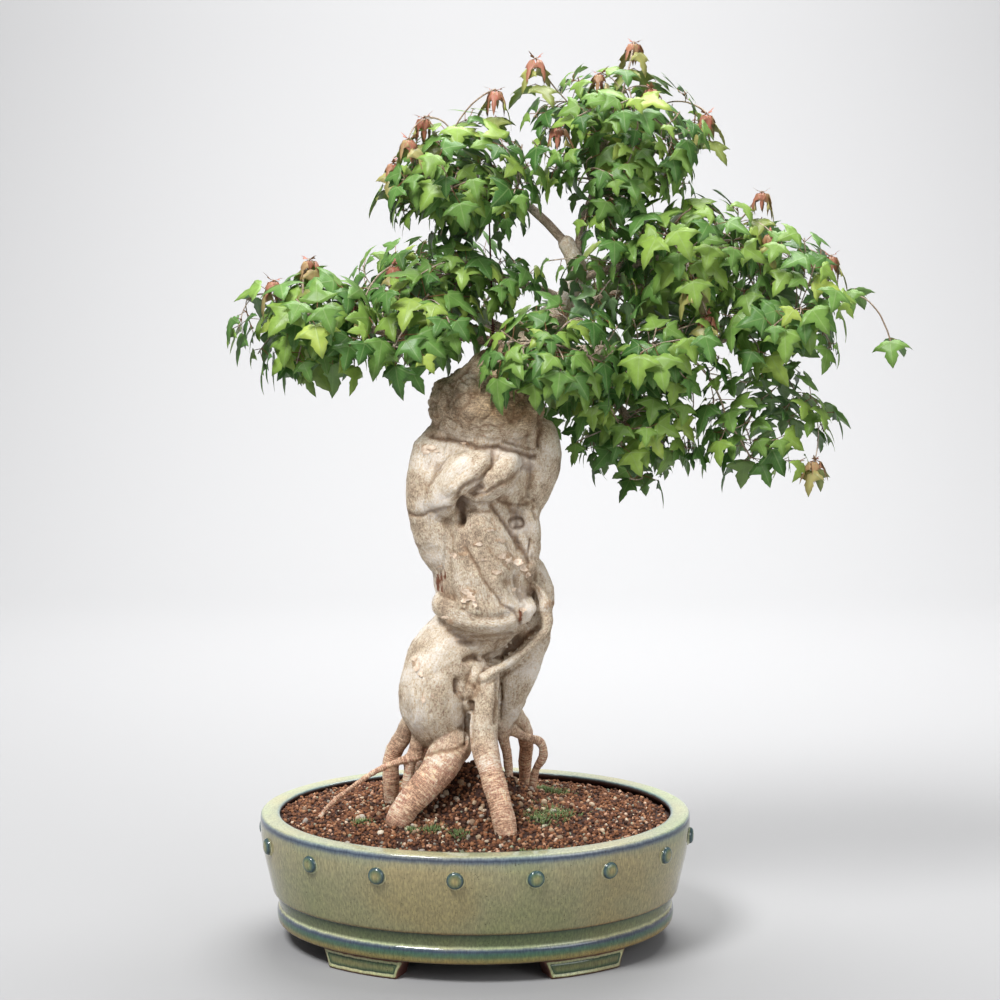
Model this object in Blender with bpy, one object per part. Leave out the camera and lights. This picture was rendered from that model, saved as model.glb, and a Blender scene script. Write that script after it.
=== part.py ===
"""Trident maple bonsai in its oval glazed pot.

The pot is centred on x = 0, y = 0 while it is made and its feet stand on z = 0. The front of the
tree looks along -Y. Lists of limb and root points are in millimetres: x, y, z and radius.
"""

import math
import random

import bmesh
import bpy
from mathutils import Vector, noise
from mathutils.bvhtree import BVHTree

MM = 0.001
GAP = 0.3 * MM

# Pot. The profile runs up its outside from the underside to the rim, then down its inside to the
# floor, in mm: how far in from the rim's outer edge, and the height.
POT_HALF_WIDTH = 230.0 * MM
POT_HALF_DEPTH = 184.7 * MM
POT_PROFILE = [(19.5, 20.7), (17.0, 25.0), (17.4, 36.9), (19.2, 39.5), (15.2, 52.6), (12.8, 54.6),
               (8.0, 75.0), (3.4, 97.0), (0.0, 122.0), (0.2, 136.4), (2.6, 138.7), (19.4, 138.7),
               (21.0, 137.0), (20.0, 133.0), (12.0, 127.0), (12.6, 108.0), (27.0, 48.0),
               (40.0, 31.0)]
RIM_TOP = 138.7 * MM
RIM_WIDTH = 21.0 * MM
POT_BASE = 20.7 * MM
FLOOR_TOP = 31.0 * MM
POT_SIDES = 36
STUD_COUNT = 16
STUD_RADIUS = 8.8 * MM
STUD_PROUD = 5.5 * MM
STUD_INSET = 1.2 * MM
STUD_DOME = ((-0.6, 1.15), (1.0, 0.75))
STUD_DROP = 24.2 * MM
STUD_PHASE = -0.226
STUD_SIDES = 6
ARC_STEPS = 720
FOOT_ANGLE = math.radians(34.6)
FOOT_SPAN = math.radians(15.4)
FOOT_INSET = 23.5 * MM
FOOT_DEPTH = 26.0 * MM
FOOT_BOTTOM_SPAN = 0.8
FOOT_SPREAD = 1.0 * MM
FOOT_SINK = 3.0 * MM
FOOT_STEPS = 4
DRAIN_RADIUS = 14.0 * MM
DRAIN_X = 85.0 * MM
DRAIN_SIDES = 12

# Drainage mesh
MESH_SIDE = 46.0 * MM
MESH_THICK = 1.2 * MM
MESH_CELLS = 5

# Soil
SOIL_EDGE = 131.0 * MM
SOIL_INSET = 22.5 * MM
SOIL_MOUND = 12.0 * MM
SOIL_CONE = 44.0 * MM
SOIL_CONE_AT = (0.0, 8.0 * MM)
SOIL_CONE_WIDTH = 56.0 * MM
SOIL_LEFT_RISE = 4.0 * MM
SOIL_GRAIN = 1.1 * MM
SOIL_GRAIN_PITCH = 11.0 * MM
SOIL_SIDE = [(40.0, 31.0), (27.0, 48.0), (12.6, 108.0), (12.6, 124.0)]
SOIL_RINGS = 6
SOIL_RING_POWER = 1.1

# Trunk
TRUNK_VOXEL = 3.0 * MM
TRUNK_FACES = 2400
TRUNK_SOFTENING = 3
LIMB_SIDES = 10
DOME_REACH = 0.7
DOME_WIDTH = 0.55
SOCKET_GAP = 0.45 * MM
SOIL_GAP = 0.45 * MM

# Leaves and shoots. A leaf's half outline is in parts of its length: out to the side, along the
# midrib and up. Pairs of leaves stand at PAIR_PLACES along a shoot, as parts of its length.
LEAF_OUTLINE = [(0.032, 0.0, 0.0), (0.60, 0.29, -0.15), (0.23, 0.44, 0.02), (0.0, 1.0, -0.12)]
LEAF_THICK = 0.9 * MM
LEAF_CLEAR = 2.2 * MM
LEAF_MARGIN = 1.03
LEAF_TRIES = 14
LEAST_ONWARD = 0.2
LEAF_SWING = Vector((0.5, 0.5, 0.3))
LEAF_ROLL = 0.6
FACE_LIFT = Vector((0.0, -0.15, 0.55))
HANG_ONWARD = 0.9
HANG_OUTWARD = 0.3
HANG_DOWN = Vector((0.0, 0.0, -0.8))
BLADE_POINTS = 14
STALK_RADIUS = 0.65 * MM
STALK_SINK = 0.2 * MM
STALK_PARTS = (0.35, 0.5)
SHOOT_SIDES = 3
SHOOT_STEPS = 2
SHOOT_PITCH = 12.0 * MM
SHOOT_CLEAR = 1.0 * MM
SHOOT_TAPER = 0.012
SHOOT_WIDEST = 0.75
BACKWARD_COST = 0.45
PAD_SHELL = (0.62, 0.86)
PAD_LIFT = 0.25
PAD_TRIES = 24
PAIR_STEP = 4.0 * MM
PAIR_TURN = math.radians(60.0)
PAIR_ONWARD = 0.6
PAIR_RISE = 0.2
SHOOT_TIP = 1.7 * MM
BRANCH_SIDES = 6
PAIR_PLACES = (0.70, 1.0)
WHIP_LEAVES = (34, 42)
SEED = "trident maple"

# Guy wire
WIRE_RADIUS = 0.9 * MM
WIRE_X = 17.0 * MM
WIRE_SIDES = 5
LOOP_STEPS = 12

# The whole model moves by this, so that the origin is the middle of its base.
CENTRE_X = 101.0 * MM
CENTRE_Y = 5.0 * MM

# Old wood, from the base of the roots up. Each limb is a run of x, y, z, radius in mm.
TRUNK_LIMBS = {
    "body": [(-30, -8, 228, 28), (-38, -13, 242, 34), (-45, -20, 266, 37), (-36, -14, 300, 37),
             (-14, -4, 328, 36), (8, -2, 354, 47), (10, -2, 378, 53), (8, 2, 405, 54),
             (4, 6, 435, 57), (2, 8, 470, 60), (8, 6, 505, 62), (12, 4, 530, 57)],
    "core": [(4, 14, 236, 20), (4, 14, 252, 27), (8, 16, 290, 26), (10, 10, 340, 34)],
    "muscle": [(-2, -34, 472, 15), (2, -38, 442, 22), (8, -34, 410, 31), (12, -30, 378, 35),
               (12, -28, 358, 29)],
    "belly": [(-35, -24, 366, 13), (-18, -38, 360, 15), (4, -46, 355, 16), (25, -44, 355, 16),
              (45, -36, 359, 14), (54, -26, 364, 12)],
    "right leg": [(56, 12, 397, 19), (64, 10, 374, 20.5), (62, 10, 345, 21), (54, 10, 312, 23),
                  (42, 8, 282, 23), (35, 6, 258, 20), (33, 6, 243, 15)],
    "back arc": [(-14, 22, 352, 16), (-40, 24, 330, 13), (-58, 20, 306, 14), (-62, 14, 278, 16)],
    "arched root": [(62, -18, 387, 4.4), (72, -18, 371, 5), (76, -16, 356, 5), (74, -18, 337, 5),
                    (63, -26, 327, 5), (50, -32, 315, 5), (35, -34, 305, 5), (20, -38, 298, 5.2),
                    (9, -40, 289, 5.4)],
    "twisted wood": [(4, -26, 304, 9), (-1, -30, 288, 9.5), (-6, -32, 272, 9.5), (-3, -34, 257, 8)],
    "left shoulder": [(-34, -10, 530, 28), (-44, -18, 500, 28), (-45, -20, 476, 27),
                      (-41, -16, 450, 27), (-30, -10, 420, 28)],
    "left lobe": [(2, -42, 514, 21), (-14, -48, 500, 22), (-31, -44, 480, 19)],
    "middle lobe": [(36, -48, 514, 14), (20, -54, 496, 15), (2, -50, 482, 12)],
    "right bulge": [(62, -8, 542, 25), (67, -8, 518, 25), (62, -10, 492, 21), (54, -14, 464, 16)],
    "right column": [(54, -24, 462, 15), (55, -22, 432, 15), (52, -18, 404, 15)],
    "head": [(-20, -8, 572, 34), (4, -20, 577, 44), (35, -14, 575, 41), (20, -8, 604, 36)],
    "head knob": [(-30, -14, 588, 17), (-35, -14, 574, 16)],
    "neck": [(40, 0, 590, 34), (52, 2, 616, 30), (66, 6, 642, 22), (82, 8, 666, 15),
             (97, 8, 688, 11.5), (107, 8, 706, 10.5), (104, 8, 724, 10), (95, 8, 742, 10)],
}
ROOTS = {
    "front left": [(-24, -30, 217, 22), (-37, -46, 195, 19), (-51, -55, 180, 17),
                   (-68, -62, 162, 15.5), (-80, -66, 143, 14)],
    "left": [(-56, -2, 250, 16), (-74, 4, 222, 10.5), (-89, 6, 196, 9.5), (-91, 6, 165, 9),
             (-90, 5, 140, 8)],
    "left thin": [(-54, -12, 226, 13), (-68, -16, 196, 6.5), (-72, -18, 165, 5.5),
                  (-73, -18, 145, 5)],
    "left aerial": [(-58, -18, 202, 6), (-86, -21, 194, 3.8), (-113, -24, 181, 3.4),
                    (-140, -27, 162, 3.1), (-158, -28, 146, 3), (-166, -28, 133, 3)],
    "front middle": [(17, -26, 296, 9), (14, -34, 283, 12), (11, -40, 266, 14), (10, -46, 246, 14.5),
                     (10, -54, 225, 14.5), (14, -64, 206, 13.5), (20, -74, 188, 13),
                     (27, -86, 164, 12.5), (32, -94, 142, 12), (34, -96, 134, 11)],
    "front right": [(26, 4, 236, 14), (31, 8, 212, 6.5), (35, 14, 188, 5.6), (37, 17, 152, 5)],
    "right": [(34, 22, 242, 16), (50, 34, 222, 9.5), (55, 44, 200, 8), (54, 56, 175, 7.5),
              (54, 59, 150, 7)],
    "right loop": [(30, 12, 228, 9), (52, 20, 213, 5.4), (70, 24, 206, 5.2), (73, 28, 190, 5.2),
                   (65, 34, 172, 5), (62, 37, 150, 4.6)],
    "back left": [(-30, 22, 236, 24), (-48, 50, 196, 13), (-66, 70, 164, 10), (-75, 77, 138, 9)],
    "back": [(4, 24, 236, 28), (8, 52, 200, 15), (10, 74, 168, 11), (10, 82, 142, 10)],
}

# Each leafy branch, in mm: its own wood, the tips of its long whips and its pads of leaves. A pad
# is the x, y, z of its middle, its three half-sizes, its number of shoots and its leaves' length.
BRANCHES = {
    "branch_left_low": {
        "wood": [(44, -2, 629, 6.8), (22, -6, 638, 6.6), (-6, -7, 646, 6.2), (-47, -8, 646, 5.6),
                 (-90, -10, 650, 5), (-136, -12, 660, 4.2), (-182, -14, 672, 3.2)],
        "whips": [(-236, -12, 684), (-172, 6, 726), (-84, 4, 720)],
        "pads": [((-165, -12, 660), (84, 82, 46), 4, (44, 54)),
                 ((-55, -20, 660), (66, 88, 46), 3, (42, 54))],
    },
    "branch_left_mid": {
        "wood": [(90, 9, 685, 4.8), (60, 4, 697, 4.8), (16, 8, 706, 4.4), (-24, 14, 708, 3.4)],
        "whips": [],
        "pads": [((-14, 16, 704), (92, 72, 30), 3, (34, 42))],
    },
    "branch_upper_left": {
        "wood": [(93, 8, 744, 5.4), (58, 6, 779, 5.2), (17, 4, 795, 5), (-25, 2, 806, 4),
                 (-58, 2, 818, 3)],
        "whips": [(22, 0, 900), (-52, -8, 872), (-84, 4, 826)],
        "pads": [((-14, 0, 806), (84, 80, 62), 5, (38, 48))],
    },
    "branch_apex": {
        "wood": [(107, 9, 729, 4.8), (113, 12, 764, 5), (123, 10, 790, 4.8), (131, 8, 822, 4.2),
                 (136, 4, 858, 3.2)],
        "whips": [(164, 0, 948), (63, 0, 932), (240, 8, 876)],
        "pads": [((146, 2, 850), (96, 92, 72), 6, (36, 46))],
    },
    "branch_right_upper": {
        "wood": [(112, 8, 706, 4.8), (140, 6, 714, 4.6), (190, 2, 726, 4), (238, -4, 738, 3)],
        "whips": [(298, 0, 796)],
        "pads": [((222, -6, 734), (92, 88, 56), 4, (40, 50))],
    },
    "branch_right": {
        "wood": [(74, 0, 622, 8.6), (96, -2, 628, 8.4), (131, -4, 630, 7.6), (170, -6, 629, 6.8),
                 (206, -7, 631, 6), (250, -8, 640, 5), (296, -8, 656, 4), (340, -8, 668, 3)],
        "whips": [(392, 0, 690), (434, -4, 640), (362, -10, 566), (288, -20, 520)],
        "pads": [((318, -6, 686), (80, 84, 82), 4, (42, 54)),
                 ((306, -16, 552), (72, 66, 48), 2, (38, 48)),
                 ((192, -44, 640), (72, 70, 44), 2, (40, 52))],
    },
    "branch_hanging": {
        "wood": [(66, 14, 600, 6.5), (108, 18, 598, 6), (142, 18, 580, 5), (166, 16, 552, 4),
                 (176, 14, 520, 3)],
        "whips": [(176, 0, 496)],
        "pads": [((164, 12, 558), (78, 86, 80), 5, (36, 46))],
    },
    "branch_front": {
        "wood": [(60, -13, 628, 6), (60, -40, 640, 5.2), (66, -72, 646, 4.4), (78, -98, 644, 3.2)],
        "whips": [],
        "pads": [((76, -78, 636), (88, 56, 44), 4, (38, 48))],
    },
    "branch_back_left": {
        "wood": [(54, 18, 641, 6.4), (28, 44, 650, 6), (-10, 72, 668, 5), (-50, 94, 684, 3.6)],
        "whips": [(-96, 146, 722)],
        "pads": [((-48, 104, 690), (92, 74, 54), 3, (40, 50))],
    },
    "branch_back_right": {
        "wood": [(87, 15, 666, 5.4), (118, 44, 676, 5.2), (160, 76, 690, 4.8), (200, 98, 704, 3.6)],
        "whips": [(262, 146, 742)],
        "pads": [((196, 112, 704), (100, 74, 66), 3, (40, 50))],
    },
    "branch_back": {
        "wood": [(62, 23, 618, 6.4), (74, 56, 614, 6), (84, 96, 612, 5), (92, 128, 612, 3.6)],
        "whips": [(84, 170, 640)],
        "pads": [((86, 124, 608), (100, 60, 62), 3, (40, 50))],
    },
}


def material(name, rgb, roughness, metallic=0.0):
    made = bpy.data.materials.new(name)
    made.use_nodes = True
    shader = made.node_tree.nodes["Principled BSDF"]
    shader.inputs["Base Color"].default_value = (*rgb, 1.0)
    shader.inputs["Roughness"].default_value = roughness
    shader.inputs["Metallic"].default_value = metallic
    made.diffuse_color = (*rgb, 1.0)
    return made


def new_object(name, points, faces, finish=None, collection=None):
    mesh = bpy.data.meshes.new(name)
    mesh.from_pydata([tuple(p) for p in points], [], faces)
    made = bpy.data.objects.new(name, mesh)
    if finish:
        mesh.materials.append(finish)
    (collection or bpy.context.scene.collection).objects.link(made)
    return made


def apply_modifiers(target):
    """The object's mesh becomes what its modifiers make of it."""
    graph = bpy.context.evaluated_depsgraph_get()
    made = bpy.data.meshes.new_from_object(target.evaluated_get(graph), depsgraph=graph)
    old = target.data
    target.modifiers.clear()
    target.data = made
    bpy.data.meshes.remove(old)


def boolean(target, others, operation, solver="EXACT"):
    """One Boolean of the target with all of the others, which are then removed."""
    tools = bpy.data.collections.new("tools of " + target.name)
    bpy.context.scene.collection.children.link(tools)
    for other in others:
        for home in list(other.users_collection):
            home.objects.unlink(other)
        tools.objects.link(other)
    cut = target.modifiers.new(operation, "BOOLEAN")
    cut.operation = operation
    cut.solver = solver
    cut.operand_type = "COLLECTION"
    cut.collection = tools
    apply_modifiers(target)
    for other in others:
        bpy.data.objects.remove(other)
    bpy.data.collections.remove(tools)


def keep_largest_body(target):
    """Loose scraps that a union leaves are dropped. Faces belong together where they share an edge."""
    bm = bmesh.new()
    bm.from_mesh(target.data)
    unseen = set(bm.faces)
    bodies = []
    while unseen:
        front = [unseen.pop()]
        body = list(front)
        while front:
            for edge in front.pop().edges:
                for face in edge.link_faces:
                    if face in unseen:
                        unseen.remove(face)
                        front.append(face)
                        body.append(face)
        bodies.append(body)
    bodies.sort(key=len)
    scraps = [face for body in bodies[:-1] for face in body]
    bmesh.ops.delete(bm, geom=scraps, context="FACES")
    bm.to_mesh(target.data)
    bm.free()


def in_triangles(target, drop_idle=False):
    """Splits all faces in triangles, first without the points that only divide an edge."""
    bm = bmesh.new()
    bm.from_mesh(target.data)
    if drop_idle:
        idle = [point for point in bm.verts if len(point.link_edges) == 2]
        bmesh.ops.dissolve_verts(bm, verts=idle)
    bmesh.ops.triangulate(bm, faces=bm.faces)
    bm.to_mesh(target.data)
    bm.free()


def loft(rings, cap=True):
    """Points and faces of a closed skin over rings that have the same number of points."""
    sides = len(rings[0])
    points = [p for ring in rings for p in ring]
    faces = []
    for level in range(len(rings) - 1):
        low = level * sides
        high = low + sides
        for i in range(sides):
            j = (i + 1) % sides
            faces.append((low + i, low + j, high + j, high + i))
    if cap:
        faces.append(tuple(reversed(range(sides))))
        faces.append(tuple(range(len(points) - sides, len(points))))
    return points, faces


def tube(path, sides):
    """A tapered tube with flat ends along x, y, z, radius points given in metres."""
    places = [Vector(p[:3]) for p in path]
    side = None
    rings = []
    for i, place in enumerate(places):
        before = places[max(i - 1, 0)]
        after = places[min(i + 1, len(places) - 1)]
        along = (after - before).normalized()
        if side is None:
            side = along.orthogonal().normalized()
        side = (side - along * side.dot(along)).normalized()
        across = along.cross(side)
        turns = [2 * math.pi * k / sides for k in range(sides)]
        rings.append([place + path[i][3] * (side * math.cos(a) + across * math.sin(a))
                      for a in turns])
    return loft(rings)


def in_metres(path):
    return [tuple(value * MM for value in point) for point in path]


def oval(inset, height, sides=POT_SIDES):
    """One level ring of the pot's oval, this far in from the rim's outer edge."""
    turns = [2 * math.pi * k / sides for k in range(sides)]
    return [Vector(((POT_HALF_WIDTH - inset) * math.sin(a),
                    -(POT_HALF_DEPTH - inset) * math.cos(a), height)) for a in turns]


def spaced_turns(inset, count, phase):
    """Angles on the oval whose arcs between neighbours are equal."""
    ring = oval(inset, 0.0, ARC_STEPS)
    run = [0.0]
    for i in range(ARC_STEPS):
        run.append(run[-1] + (ring[(i + 1) % ARC_STEPS] - ring[i]).length)
    wanted = [((k + phase) / count) % 1.0 * run[-1] for k in range(count)]
    angles = []
    for want in wanted:
        i = max(k for k in range(ARC_STEPS) if run[k] <= want)
        part = (want - run[i]) / (run[i + 1] - run[i])
        angles.append(2 * math.pi * (i + part) / ARC_STEPS)
    return angles


def make_pot(glaze):
    rings = [oval(inset * MM, height * MM) for inset, height in POT_PROFILE]
    pot = new_object("pot", *loft(rings), glaze)
    added = []
    for turn in spaced_turns(STUD_INSET, STUD_COUNT, STUD_PHASE):
        added.append(make_stud(turn))
    for half in (0.0, math.pi):
        for side in (-1, 1):
            added.append(make_foot(half + side * FOOT_ANGLE))
    boolean(pot, added, "UNION")
    holes = []
    for side in (-1, 1):
        path = [(side * DRAIN_X, 0.0, z, DRAIN_RADIUS) for z in (POT_BASE / 2, FLOOR_TOP + MM)]
        holes.append(new_object("drain hole", *tube(path, DRAIN_SIDES)))
    boolean(pot, holes, "DIFFERENCE")
    return pot


def make_stud(turn):
    """A round stud like a flattened dome, pressed onto the wall at this angle of the oval."""
    foot = Vector(((POT_HALF_WIDTH - STUD_INSET) * math.sin(turn),
                   -(POT_HALF_DEPTH - STUD_INSET) * math.cos(turn), RIM_TOP - STUD_DROP))
    out = Vector((math.sin(turn) / POT_HALF_WIDTH, -math.cos(turn) / POT_HALF_DEPTH, 0.0))
    out.normalize()
    path = []
    for proud, width in STUD_DOME:
        place = foot + out * STUD_PROUD * proud
        path.append((*place, STUD_RADIUS * width))
    return new_object("stud", *tube(path, STUD_SIDES))


def make_foot(middle):
    """A low bracket foot that follows the oval and is shorter along its bottom."""
    rings = []
    for height, span, spread in ((0.0, FOOT_BOTTOM_SPAN, 0.0),
                                 (POT_BASE + FOOT_SINK, 1.0, FOOT_SPREAD)):
        outer = []
        inner = []
        for k in range(FOOT_STEPS + 1):
            turn = middle + FOOT_SPAN * span * (2 * k / FOOT_STEPS - 1)
            for line, inset in ((outer, FOOT_INSET - spread), (inner, FOOT_INSET + FOOT_DEPTH)):
                line.append(Vector(((POT_HALF_WIDTH - inset) * math.sin(turn),
                                    -(POT_HALF_DEPTH - inset) * math.cos(turn), height)))
        rings.append(outer + inner[::-1])
    return new_object("foot", *loft(rings))


def make_drainage_mesh(name, x, plastic):
    """A square of plastic mesh that covers a drainage hole: bars with square gaps."""
    bm = bmesh.new()
    bmesh.ops.create_grid(bm, x_segments=MESH_CELLS, y_segments=MESH_CELLS, size=MESH_SIDE / 2)
    bm.faces.ensure_lookup_table()
    gaps = [f for i, f in enumerate(bm.faces)
            if (i % MESH_CELLS) % 2 == 1 and (i // MESH_CELLS) % 2 == 1]
    bmesh.ops.delete(bm, geom=gaps, context="FACES")
    sheet = bmesh.ops.extrude_face_region(bm, geom=bm.faces[:])
    top = [v for v in sheet["geom"] if isinstance(v, bmesh.types.BMVert)]
    bmesh.ops.translate(bm, verts=top, vec=(0.0, 0.0, MESH_THICK))
    bmesh.ops.translate(bm, verts=bm.verts, vec=(x, 0.0, FLOOR_TOP + GAP))
    bmesh.ops.recalc_face_normals(bm, faces=bm.faces)
    mesh = bpy.data.meshes.new(name)
    bm.to_mesh(mesh)
    bm.free()
    mesh.materials.append(plastic)
    made = bpy.data.objects.new(name, mesh)
    bpy.context.scene.collection.objects.link(made)
    return made


def soil_height(x, y):
    reach = (x / (POT_HALF_WIDTH - RIM_WIDTH)) ** 2 + (y / (POT_HALF_DEPTH - RIM_WIDTH)) ** 2
    spread = (x - SOIL_CONE_AT[0]) ** 2 + (y - SOIL_CONE_AT[1]) ** 2
    cone = SOIL_CONE * math.exp(-spread / SOIL_CONE_WIDTH ** 2)
    left = SOIL_LEFT_RISE * max(-x, 0.0) / POT_HALF_WIDTH
    mound = SOIL_MOUND * max(1.0 - reach, 0.0)
    grain = SOIL_GRAIN * noise.noise(Vector((x, y, 0.0)) / SOIL_GRAIN_PITCH)
    return SOIL_EDGE + mound + cone + left + grain


def make_soil(earth, roots):
    """Soil that fills the pot and mounds up round the roots, which stand in holes in it."""
    rings = [oval(inset * MM + 2 * GAP, height * MM + 2 * GAP) for inset, height in SOIL_SIDE]
    for k in range(SOIL_RINGS):
        part = (k / SOIL_RINGS) ** SOIL_RING_POWER
        ring = oval(SOIL_INSET + (POT_HALF_DEPTH - SOIL_INSET) * part, 0.0)
        for point in ring:
            point.z = soil_height(point.x, point.y)
        rings.append(ring)
    soil = new_object("soil", *loft(rings), earth)
    cuts = []
    for x in (-DRAIN_X, DRAIN_X):
        bpy.ops.mesh.primitive_cube_add(size=1.0, location=(x, 0.0, FLOOR_TOP))
        recess = bpy.context.object
        recess.scale = (MESH_SIDE + 2 * GAP, MESH_SIDE + 2 * GAP, 2 * (MESH_THICK + 2 * GAP))
        cuts.append(recess)
    holes = new_object("root holes", [v.co + v.normal * SOIL_GAP for v in roots.data.vertices],
                       [tuple(p.vertices) for p in roots.data.polygons])
    boolean(soil, cuts, "DIFFERENCE")
    boolean(soil, [holes], "DIFFERENCE")
    keep_largest_body(soil)
    return soil


def make_trunk(bark):
    """The old wood in one piece: its limbs and roots run together and their joins softened."""
    points = []
    faces = []
    for path in list(TRUNK_LIMBS.values()) + list(ROOTS.values()):
        skin, sides = tube(rounded_ends(in_metres(path)), LIMB_SIDES)
        faces += [tuple(i + len(points) for i in side) for side in sides]
        points += skin
    trunk = new_object("trunk", points, faces, bark)
    merge = trunk.modifiers.new("run together", "REMESH")
    merge.mode = "VOXEL"
    merge.voxel_size = TRUNK_VOXEL
    soften = trunk.modifiers.new("soften", "SMOOTH")
    soften.factor = 0.5
    soften.iterations = TRUNK_SOFTENING
    apply_modifiers(trunk)
    fewer = trunk.modifiers.new("fewer faces", "DECIMATE")
    fewer.ratio = TRUNK_FACES / (2.0 * len(trunk.data.polygons))
    fewer.use_collapse_triangulate = True
    apply_modifiers(trunk)
    keep_largest_body(trunk)
    return trunk


def rounded_ends(path):
    """The path with a narrow ring a little past each end, so that its ends are domed."""
    first, second = Vector(path[0][:3]), Vector(path[1][:3])
    last, before = Vector(path[-1][:3]), Vector(path[-2][:3])
    start = first + (first - second).normalized() * path[0][3] * DOME_REACH
    end = last + (last - before).normalized() * path[-1][3] * DOME_REACH
    return [(*start, path[0][3] * DOME_WIDTH), *path, (*end, path[-1][3] * DOME_WIDTH)]


class Placed:
    """Everything that stands already, so that what is added next keeps clear of it."""

    def __init__(self):
        self.shapes = []

    def add(self, owner, points, faces):
        middle = sum(points, Vector()) / len(points)
        reach = max((p - middle).length for p in points)
        self.shapes.append((owner, middle, reach, BVHTree.FromPolygons(points, faces)))

    def blocks(self, points, faces, but=()):
        middle = sum(points, Vector()) / len(points)
        reach = max((p - middle).length for p in points)
        tree = None
        for owner, other, far, shape in self.shapes:
            if owner in but or (other - middle).length > reach + far:
                continue
            tree = tree or BVHTree.FromPolygons(points, faces)
            if tree.overlap(shape):
                return True
        return False


def leaf(stalk_from, base, along, normal, length, thick):
    """A three-lobed blade with its stalk. Both faces are split into the same triangles."""
    across = along.cross(normal).normalized()
    up = across.cross(along)
    half = [Vector(p) for p in LEAF_OUTLINE]
    outline = half[:3] + [half[3]] + [Vector((-p.x, p.y, p.z)) for p in half[2::-1]]
    top = [base + length * (across * p.x + along * p.y + up * p.z) + up * thick / 2
           for p in outline]
    low = [p - up * thick for p in top]
    stem = (base - stalk_from).normalized()
    rise = across.cross(stem).normalized()
    root = [stalk_from - stem * STALK_SINK + (across * x + rise * y) * STALK_RADIUS
            for x, y in ((1.0, 0.6), (-1.0, 0.6), (0.0, -1.1))]
    points = top + low + root
    face = [(0, 1, 2), (4, 5, 6), (2, 3, 4), (0, 2, 4), (0, 4, 6)]
    faces = face + [tuple(i + 7 for i in reversed(t)) for t in face]
    for i in range(6):
        faces.append((i, i + 7, i + 8, i + 1))
    faces += [(0, 6, 15, 14), (0, 14, 16, 7), (6, 13, 16, 15), (7, 16, 13), (14, 15, 16)]
    return points, faces


def sample(path, step):
    """Places along a path, each with its direction and radius."""
    found = []
    for a, b in zip(path, path[1:]):
        start, end = Vector(a[:3]), Vector(b[:3])
        count = max(1, round((end - start).length / step))
        for k in range(count):
            part = (k + 1) / count
            found.append((start.lerp(end, part), (end - start).normalized(),
                          a[3] + (b[3] - a[3]) * part))
    return found


def shoot_path(target, ends):
    """A curved shoot from the handiest place on the wood so far to its target."""
    def cost(end):
        reach = target - end[0]
        back = 1.0 - reach.normalized().dot(end[1])
        return reach.length * (1.0 + BACKWARD_COST * back)
    place, along, radius = min(ends, key=cost)
    reach = target - place
    bend = place + along * reach.length * 0.25 + reach * 0.3 + Vector((0, 0, reach.length * 0.10))
    base = min(radius * SHOOT_WIDEST, SHOOT_TIP + reach.length * SHOOT_TAPER)
    path = []
    for k in range(SHOOT_STEPS + 1):
        part = k / SHOOT_STEPS
        spot = place * (1 - part) ** 2 + bend * 2 * part * (1 - part) + target * part ** 2
        path.append((*spot, base + (SHOOT_TIP - base) * part))
    return path


def pad_targets(middle, sizes, count, draw):
    """Shoot tips spread evenly over a pad's outside: each is the farthest of a few tries."""
    found = []
    for _ in range(count):
        best = None
        for _ in range(PAD_TRIES):
            way = Vector((draw.gauss(0, 1), draw.gauss(0, 1), draw.gauss(0, 1) + PAD_LIFT))
            way.normalize()
            spot = way * draw.uniform(*PAD_SHELL)
            gap = min([(spot - other).length for other in found] or [9.0])
            if best is None or gap > best[0]:
                best = (gap, spot)
        found.append(best[1])
    return [Vector((middle[i] + sizes[i] * spot[i] for i in range(3))) * MM for spot in found]


def place_leaf(name, node, place, way, length, draw, placed, pad_middle):
    """A leaf that hangs from its stalk and turns its face out of the pad, if it has room."""
    for _ in range(LEAF_TRIES):
        turn = Vector(draw.uniform(-swing, swing) for swing in LEAF_SWING)
        stem = (way + turn).normalized()
        base = place + stem * draw.uniform(*STALK_PARTS) * length
        outward = (base - pad_middle).normalized()
        normal = (outward + FACE_LIFT + turn * LEAF_ROLL).normalized()
        fall = stem * HANG_ONWARD + HANG_DOWN + outward * HANG_OUTWARD
        along = (fall - normal * fall.dot(normal)).normalized()
        if along.dot(stem) < LEAST_ONWARD:
            continue
        fat, skin = leaf(place, base, along, normal, length * LEAF_MARGIN, LEAF_CLEAR)
        blade = [side for side in skin if max(side) < BLADE_POINTS]
        if placed.blocks(fat[:BLADE_POINTS], blade) or placed.blocks(fat, skin, (name, node)):
            continue
        placed.add(name + " leaf", fat[:BLADE_POINTS], blade)
        grown = leaf(place, base, along, normal, length, LEAF_THICK)
        placed.add(node, *grown)
        return grown
    return None


def branch_shoots(name, plan):
    """Each shoot's tip, its pad's middle, its leaves' length and where its pairs of leaves are."""
    draw = random.Random(f"{SEED} {name}")
    found = []
    for middle, sizes, count, lengths in plan["pads"]:
        for target in pad_targets(middle, sizes, count, draw):
            found.append((target, Vector(middle) * MM, lengths, PAIR_PLACES))
    for tip in plan["whips"]:
        found.append((Vector(tip) * MM, Vector(tip) * MM, WHIP_LEAVES, PAIR_PLACES[-1:]))
    return found


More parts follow.
